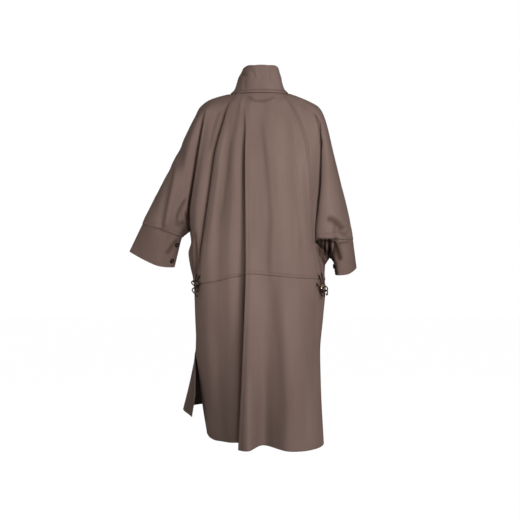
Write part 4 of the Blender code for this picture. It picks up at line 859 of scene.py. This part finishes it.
def arc(centre_r, centre_h, radius, first, last, steps):
    """Profile points on an arc, between two angles in degrees."""
    angles = np.radians(np.linspace(first, last, steps + 1))
    return [(centre_r + radius * math.cos(a), centre_h + radius * math.sin(a)) for a in angles]


def turned_piece(name, material, profile, axis, place, sides=32):
    """An object that is one turned shape."""
    bm = bmesh.new()
    turned(bm, profile, axis, place, sides)
    return finished(name, bm, [material])


# Shares of the button's radius, but the dish's height is a share of its thickness. It stands off on its thread.
FLAT_BACK, RIM, DISH, DISHED_TO = 0.82, 0.16, 0.72, 0.3
HOLES_OUT, HOLE_RADIUS, THREAD_RADIUS = 0.19, 0.095, 0.05
SHANK = 0.0008


def sewn_button(node, radius, thick):
    """A button with its holes and thread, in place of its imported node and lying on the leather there."""
    low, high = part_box(node)
    spot, axis = surface.find_nearest((low + high) / 2)[:2]
    middle = spot + axis * (thick / 2 + SHANK)
    rim, floor = radius * RIM, thick * (DISH - 0.5)
    profile = ([(0.0, -thick / 2), (radius * FLAT_BACK, -thick / 2)] + arc(radius - rim, 0.0, rim, -75, 0, 5)
               + arc(radius - rim, thick / 2 - rim * 0.7, rim, 0, 100, 7)
               + arc(radius - 3 * rim, thick / 2 + rim * 0.2, rim * 1.1, -40, -88, 5)
               + [(radius * DISHED_TO, floor), (0.0, floor)])
    fixed(turned_piece(node + "_of_horn", horn, profile, axis, middle), node)
    side = axis.orthogonal().normalized()
    up = axis.cross(side)
    holes, threads = bmesh.new(), bmesh.new()
    corners = [middle + axis * floor + (side * a + up * b) * radius * HOLES_OUT
               for a, b in ((1, 1), (-1, 1), (-1, -1), (1, -1))]
    wide, deep, proud = radius * HOLE_RADIUS, -0.0006, 0.00008
    for corner_place in corners:
        turned(holes, [(0.0, deep), (wide, deep), (wide, proud), (0.0, proud)], axis, corner_place, 12)
    thin = radius * THREAD_RADIUS
    for a, b in ((corners[0], corners[2]), (corners[1], corners[3])):
        half = (b - a).length * 0.55
        turned(threads, [(0.0, -half), (thin, -half * 0.9), (thin, half * 0.9), (0.0, half)], b - a,
               (a + b) / 2 + axis * 0.00025, 8)
    fixed(finished(node + "_holes", holes, [thread]))
    fixed(finished(node + "_thread", threads, [thread]))


for number in range(1, 7):
    sewn_button(f"front_button_{number}", 0.0105, 0.0038)
for side in "lr":
    for number in (1, 2):
        sewn_button(f"cuff_button_{side}_{number}", 0.0080, 0.0032)

# The eyelets that the ties come out of, two on each side just above the waist seam: blackened brass, a flange rolled
# over on the leather.


def brass(name, deep, shade_and_seam_darkness, roughness):
    """Brass with a tarnish that is deep in places and worn through in others."""
    metal, tree, tarnish, tone = toned(name, 380.0, deep, shade_and_seam_darkness, (0.35, 0.72), detail=5.0)
    tree.nodes["Principled BSDF"].inputs["Metallic"].default_value = 1.0
    dulled(tree, tarnish, roughness + 0.15, roughness - 0.08)
    return metal


aged_brass = brass("aged_brass", (0.22, 0.15, 0.08), (0.72, 0.58, 0.38), 0.34)
dark_brass = brass("blackened_brass", (0.018, 0.011, 0.006), (0.16, 0.10, 0.045), 0.42)

EYELET_RADIUS, EYELET_HOLE, FLANGE = 0.0041, 0.0021, 0.0010
for side in "lr":
    for number in (1, 2):
        node = f"eyelet_{side}_{number}"
        low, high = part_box(node)
        spot, axis = surface.find_nearest((low + high) / 2)[:2]
        roll = (EYELET_RADIUS - EYELET_HOLE) / 2
        profile = [(EYELET_HOLE + roll + roll * math.cos(a), FLANGE * math.sin(a) + 0.0004)
                   for a in np.linspace(0, 2 * math.pi, 15)]
        fixed(turned_piece(node + "_of_brass", dark_brass, profile, axis, spot), node)

# The waist ties: on each side two strands of waxed cord leave brass eyelets, pass through a clasp and are
# knotted, with two loops and two free ends. The cord is a twist of four yarns, 4.4 mm thick.
CORD_RADIUS = 0.0022
YARNS = 4
YARN_RADIUS = 0.00104
TWIST = 0.009               # length of one turn of the yarns
YARN_STEP = 0.0009          # between rings along a yarn
# Routes from the middle of the knot, in millimetres: sideways away from the body, back, up.
LOOP_HIGH = {
    "l": ((2.5, 3.5, 3.6), (1.0, 6.5, 8.0), (2.5, 7.0, 13.0), (7.5, 3.0, 17.0), (14.0, -5.0, 18.0),
          (19.5, -9.5, 14.5), (18.0, -9.5, 9.0), (12.0, -4.0, 4.0), (5.6, 0.0, 0.0)),
    "r": ((3.9, -1.7, 3.6), (6.5, -3.0, 8.5), (9.0, -4.0, 12.5), (13.5, -6.0, 14.0), (19.0, -9.0, 11.0),
          (21.0, -10.0, 5.0), (17.5, -8.0, -1.0), (11.0, -4.0, -2.0), (5.6, 0.0, 0.0)),
}
LOOP_LOW = {
    "l": ((-2.0, 0.0, -5.2), (-3.5, 1.0, -9.5), (-1.5, 1.5, -14.5), (3.0, 0.0, -16.5), (7.0, -2.0, -13.5),
          (6.5, -1.5, -8.5), (2.5, 0.0, -5.0)),
    "r": ((-2.0, 0.0, -5.2), (-1.0, 1.0, -10.0), (1.5, 1.0, -15.5), (6.5, -1.0, -18.0), (11.0, -3.5, -14.5),
          (8.5, -2.0, -8.5), (2.5, 0.0, -5.0)),
}
END_OUTER = {
    "l": ((4.2, 2.8, -2.5), (9.5, 1.5, -4.5), (14.5, -2.0, -7.0), (17.0, -5.0, -12.5), (13.5, -5.0, -18.5),
          (8.0, -3.0, -24.0), (3.8, -0.5, -29.0)),
    "r": ((4.2, 2.8, -2.5), (7.5, 5.5, -0.5), (12.0, 4.5, 1.5), (16.5, 0.5, 1.0), (20.5, -3.5, -3.5),
          (19.5, -5.0, -8.5)),
}
END_INNER = {
    "l": ((-4.5, 3.4, 0.6), (-7.0, 7.0, 4.0), (-6.0, 9.0, 10.0), (-1.0, 9.0, 15.5), (5.0, 7.5, 18.0),
          (9.2, 5.5, 17.5)),
    "r": ((-4.5, 3.4, 0.6), (-6.5, 8.0, 5.0), (-8.0, 13.0, 10.5), (-10.0, 18.0, 15.0), (-12.5, 21.0, 17.5),
          (-15.0, 21.5, 18.0)),
}
CLASP = {"l": ((0.0, 0.0, 6.2), (2.0, 0.0, 17.0)), "r": ((0.0, 0.0, 6.2), (3.6, 1.0, 21.0))}


def frames(line):
    """Along a line: each point, two directions across the line that don't twist, and the way ahead."""
    side = Vector((0.3, 0.5, 0.8))
    for k, place in enumerate(line):
        ahead = (line[min(k + 1, len(line) - 1)] - line[max(k - 1, 0)]).normalized()
        side = (side - ahead * side.dot(ahead)).normalized()
        yield place, side, ahead.cross(side), ahead


def sweep(bm, line, radius, sides):
    """A closed tube of even radius round a line."""
    rings = []
    for place, side, up, ahead in frames(line):
        made = bmesh.ops.create_circle(bm, segments=sides, radius=radius,
                                       matrix=Matrix((side, up, ahead)).transposed().to_4x4())
        bmesh.ops.translate(bm, vec=place, verts=made["verts"])
        rings.append(made["verts"])
    for low, high in zip(rings, rings[1:]):
        edges = [e for ring in (low, high) for v in ring for e in v.link_edges
                 if e.other_vert(v) in set(ring)]
        bmesh.ops.bridge_loops(bm, edges=list(set(edges)))
    for ring in (rings[0], rings[-1]):
        bm.faces.new(ring)
    bmesh.ops.recalc_face_normals(bm, faces=bm.faces)


waxed_cord, tree, fuzz, tone = toned("waxed_cord", 900.0, (0.005, 0.003, 0.002), (0.021, 0.011, 0.006), detail=4.0,
                                     roughness=0.60, specular=0.12)
bumped(tree, fuzz.outputs["Fac"], 0.5)


def twisted_cord(name, node, points):
    """A cord of twisted yarns along a route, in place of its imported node, with its length and its line."""
    line, length = even(through(points, 8), YARN_STEP)
    bm = bmesh.new()
    for yarn in range(YARNS):
        strand = []
        for k, (place, across, up, ahead) in enumerate(frames(line)):
            angle = 2 * math.pi * (yarn / YARNS + k * YARN_STEP / TWIST)
            strand.append(place + (across * math.cos(angle) + up * math.sin(angle)) * (CORD_RADIUS - YARN_RADIUS))
        sweep(bm, strand, YARN_RADIUS, 6)
    return fixed(finished(name, bm, [waxed_cord]), node), length, line


def middle(node):
    """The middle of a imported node."""
    low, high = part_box(node)
    return (low + high) / 2


KNOT_RADIUS, KNOT_HEIGHT, WRAP_RADIUS = 0.0044, 0.0060, 0.0021
KNOT_WIDE, KNOT_DEEP, KNOT_WAVE = 0.0036, 0.0032, 0.0024
CLASP_RIM, CLASP_NECK, CLASP_WALL, CLASP_ROLL = 0.0042, 0.0036, 0.0008, 0.0004
BEAD_RADIUS, BEAD_HOLE = 0.0038, 0.0011
for side, outward in (("l", 1.0), ("r", -1.0)):
    knot = middle(f"knot_{side}")

    def from_knot(route):
        """A route's points, from millimetres off the middle of the knot."""
        return [knot + Vector((a * outward, b, c)) * 0.001 for a, b, c in route]

    # the knot itself: a coil of the cord, twice round, with a wrap across it
    wrap = [Vector((math.cos(a) * KNOT_WIDE, math.sin(a) * KNOT_DEEP, KNOT_WAVE * math.sin(2 * a)))
            for a in np.linspace(0.3, 4 * math.pi - 0.3, 40)]
    bm = bmesh.new()
    for k, p in enumerate(wrap):
        p.z += (k / len(wrap) - 0.5) * KNOT_HEIGHT
    sweep(bm, [knot + p for p in wrap], WRAP_RADIUS, 10)
    bmesh.ops.create_icosphere(bm, subdivisions=3, radius=KNOT_RADIUS, matrix=Matrix.Translation(knot))
    fixed(finished(f"knot_wrap_{side}", bm, [waxed_cord]), f"knot_{side}")
    for name, route in (("loop_high", LOOP_HIGH), ("loop_low", LOOP_LOW)):
        twisted_cord(f"{name}_of_cord_{side}", f"{name}_{side}", from_knot(route[side]))

    low, high = from_knot(CLASP[side])
    half, rim, inset = (high - low).length / 2, CLASP_RIM - CLASP_ROLL, 4 * CLASP_ROLL
    profile = ([(CLASP_RIM - CLASP_WALL, -half)] + arc(rim, -half + CLASP_ROLL, CLASP_ROLL, -90, 60, 4)
               + [(CLASP_NECK, -half + inset), (CLASP_NECK, half - inset)]
               + arc(rim, half - CLASP_ROLL, CLASP_ROLL, -60, 90, 4)
               + [(CLASP_RIM - CLASP_WALL, half), (CLASP_RIM - CLASP_WALL, -half)])
    clasp = turned_piece(f"cord_clasp_{side}", aged_brass, profile, high - low, (low + high) / 2)
    fixed(clasp, f"clasp_{side}")
    for number in (1, 2):
        top = middle(f"eyelet_{side}_{number}")
        spread = Vector((outward * (number * 2 - 3) * 0.0015, 0.0, 0.0))
        twisted_cord(f"strand_of_cord_{side}_{number}", f"strand_{side}_{number}",
                     [top, top + Vector((0.0015 * outward, 0.0030, -0.004)),
                      high + spread * 2 + Vector((0, 0, 0.005)), high + spread - Vector((0, 0, 0.001))])

    for which, route in (("outer", END_OUTER), ("inner", END_INNER)):
        points = from_knot(route[side])
        end, length, line = twisted_cord(f"free_end_{which}_{side}", f"tie_end_{which}_{side}", points)
        profile = ([(0.0, -0.0031), (BEAD_HOLE, -0.0034)] + arc(0.0, 0.0, BEAD_RADIUS, -73, 73, 14)
                   + [(BEAD_HOLE, 0.0034), (BEAD_HOLE * 0.8, 0.0028), (0.0, 0.0027)])
        bead = turned_piece(f"metal_bead_{which}_{side}", dark_brass, profile, points[-1] - points[-2],
                            middle(f"bead_{which}_{side}"), 24)
        fixed(bead, f"bead_{which}_{side}")

# Stage: a pale floor and a white studio. The camera sees both white; the coat is lit by less of it.
pale = bpy.data.materials.new("pale_floor")
pale.use_nodes = True
nodes, links = pale.node_tree.nodes, pale.node_tree.links
shader = nodes["Principled BSDF"]
shader.inputs["Base Color"].default_value = (0.85, 0.85, 0.85, 1.0)
shader.inputs["Roughness"].default_value = 0.9
glow = nodes.new("ShaderNodeEmission")
glow.inputs["Strength"].default_value = 1.02
seen = nodes.new("ShaderNodeLightPath")
blend = nodes.new("ShaderNodeMixShader")
part_white = nodes.new("ShaderNodeMath")
part_white.operation = "MULTIPLY"
part_white.inputs[1].default_value = 0.97
links.new(seen.outputs["Is Camera Ray"], part_white.inputs[0])
links.new(part_white.outputs["Value"], blend.inputs["Fac"])
links.new(shader.outputs["BSDF"], blend.inputs[1])
links.new(glow.outputs["Emission"], blend.inputs[2])
links.new(blend.outputs["Shader"], nodes["Material Output"].inputs["Surface"])
bm = bmesh.new()
bmesh.ops.create_grid(bm, x_segments=1, y_segments=1, size=9.0)
bmesh.ops.translate(bm, vec=(0.0, -3.0, -1.45), verts=bm.verts)
floor = finished("floor", bm, [pale], smooth=False)

world = bpy.data.worlds.new("studio")
bpy.context.scene.world = world
world.use_nodes = True
nodes, links = world.node_tree.nodes, world.node_tree.links
back = nodes["Background"]
back.inputs["Color"].default_value = (1.0, 0.90, 0.80, 1.0)      # warm, as light that the room sends back
back.inputs["Strength"].default_value = 0.14
white = nodes.new("ShaderNodeBackground")
white.inputs["Color"].default_value = (1, 1, 1, 1)
white.inputs["Strength"].default_value = 1.0
seen = nodes.new("ShaderNodeLightPath")
mix = nodes.new("ShaderNodeMixShader")
links.new(seen.outputs["Is Camera Ray"], mix.inputs["Fac"])
links.new(back.outputs["Background"], mix.inputs[1])
links.new(white.outputs["Background"], mix.inputs[2])
links.new(mix.outputs["Shader"], nodes["World Output"].inputs["Surface"])


def soft_light(name, place, aim, size, power, spread=math.pi):
    """A round soft lamp that looks at a point of the coat."""
    data = bpy.data.lights.new(name, "AREA")
    data.shape = "DISK"
    data.size = size
    data.energy = power
    data.spread = spread
    lamp = bpy.data.objects.new(name, data)
    lamp.location = place
    lamp.rotation_euler = (Vector(aim) - Vector(place)).to_track_quat("-Z", "Y").to_euler()
    bpy.context.scene.collection.objects.link(lamp)


soft_light("key", (-1.45, 2.25, 0.40), (0, 0, -0.42), 1.2, 20.5, math.radians(90))
soft_light("rear_fill", (-0.6, 3.3, 0.1), (0, 0, -0.40), 1.6, 13.5, math.radians(100))
soft_light("left", (2.5, 1.7, 0.30), (0.28, 0, -0.36), 1.4, 2.0, math.radians(30))
soft_light("front_fill", (0.5, -3.4, 0.3), (0, 0, -0.5), 1.6, 60)

bpy.context.scene.view_settings.view_transform = "Standard"

# The camera stands level behind the coat, 3.2 m off, at half the coat's height.
CAMERA_PLACE = (0.0, 3.2, -0.559)
FOCAL_PIXELS = 955.2          # one metre at one metre's distance, in the picture's pixels
PICTURE_WIDTH = 520
SENSOR = 36.0
lens = bpy.data.cameras.new("camera")
lens.sensor_width = SENSOR
lens.lens = FOCAL_PIXELS * SENSOR / PICTURE_WIDTH
lens.clip_end = 30.0
camera = bpy.data.objects.new("camera", lens)
camera.location = CAMERA_PLACE
camera.rotation_euler = (math.pi / 2, 0.0, math.pi)
bpy.context.scene.collection.objects.link(camera)
bpy.context.scene.camera = camera
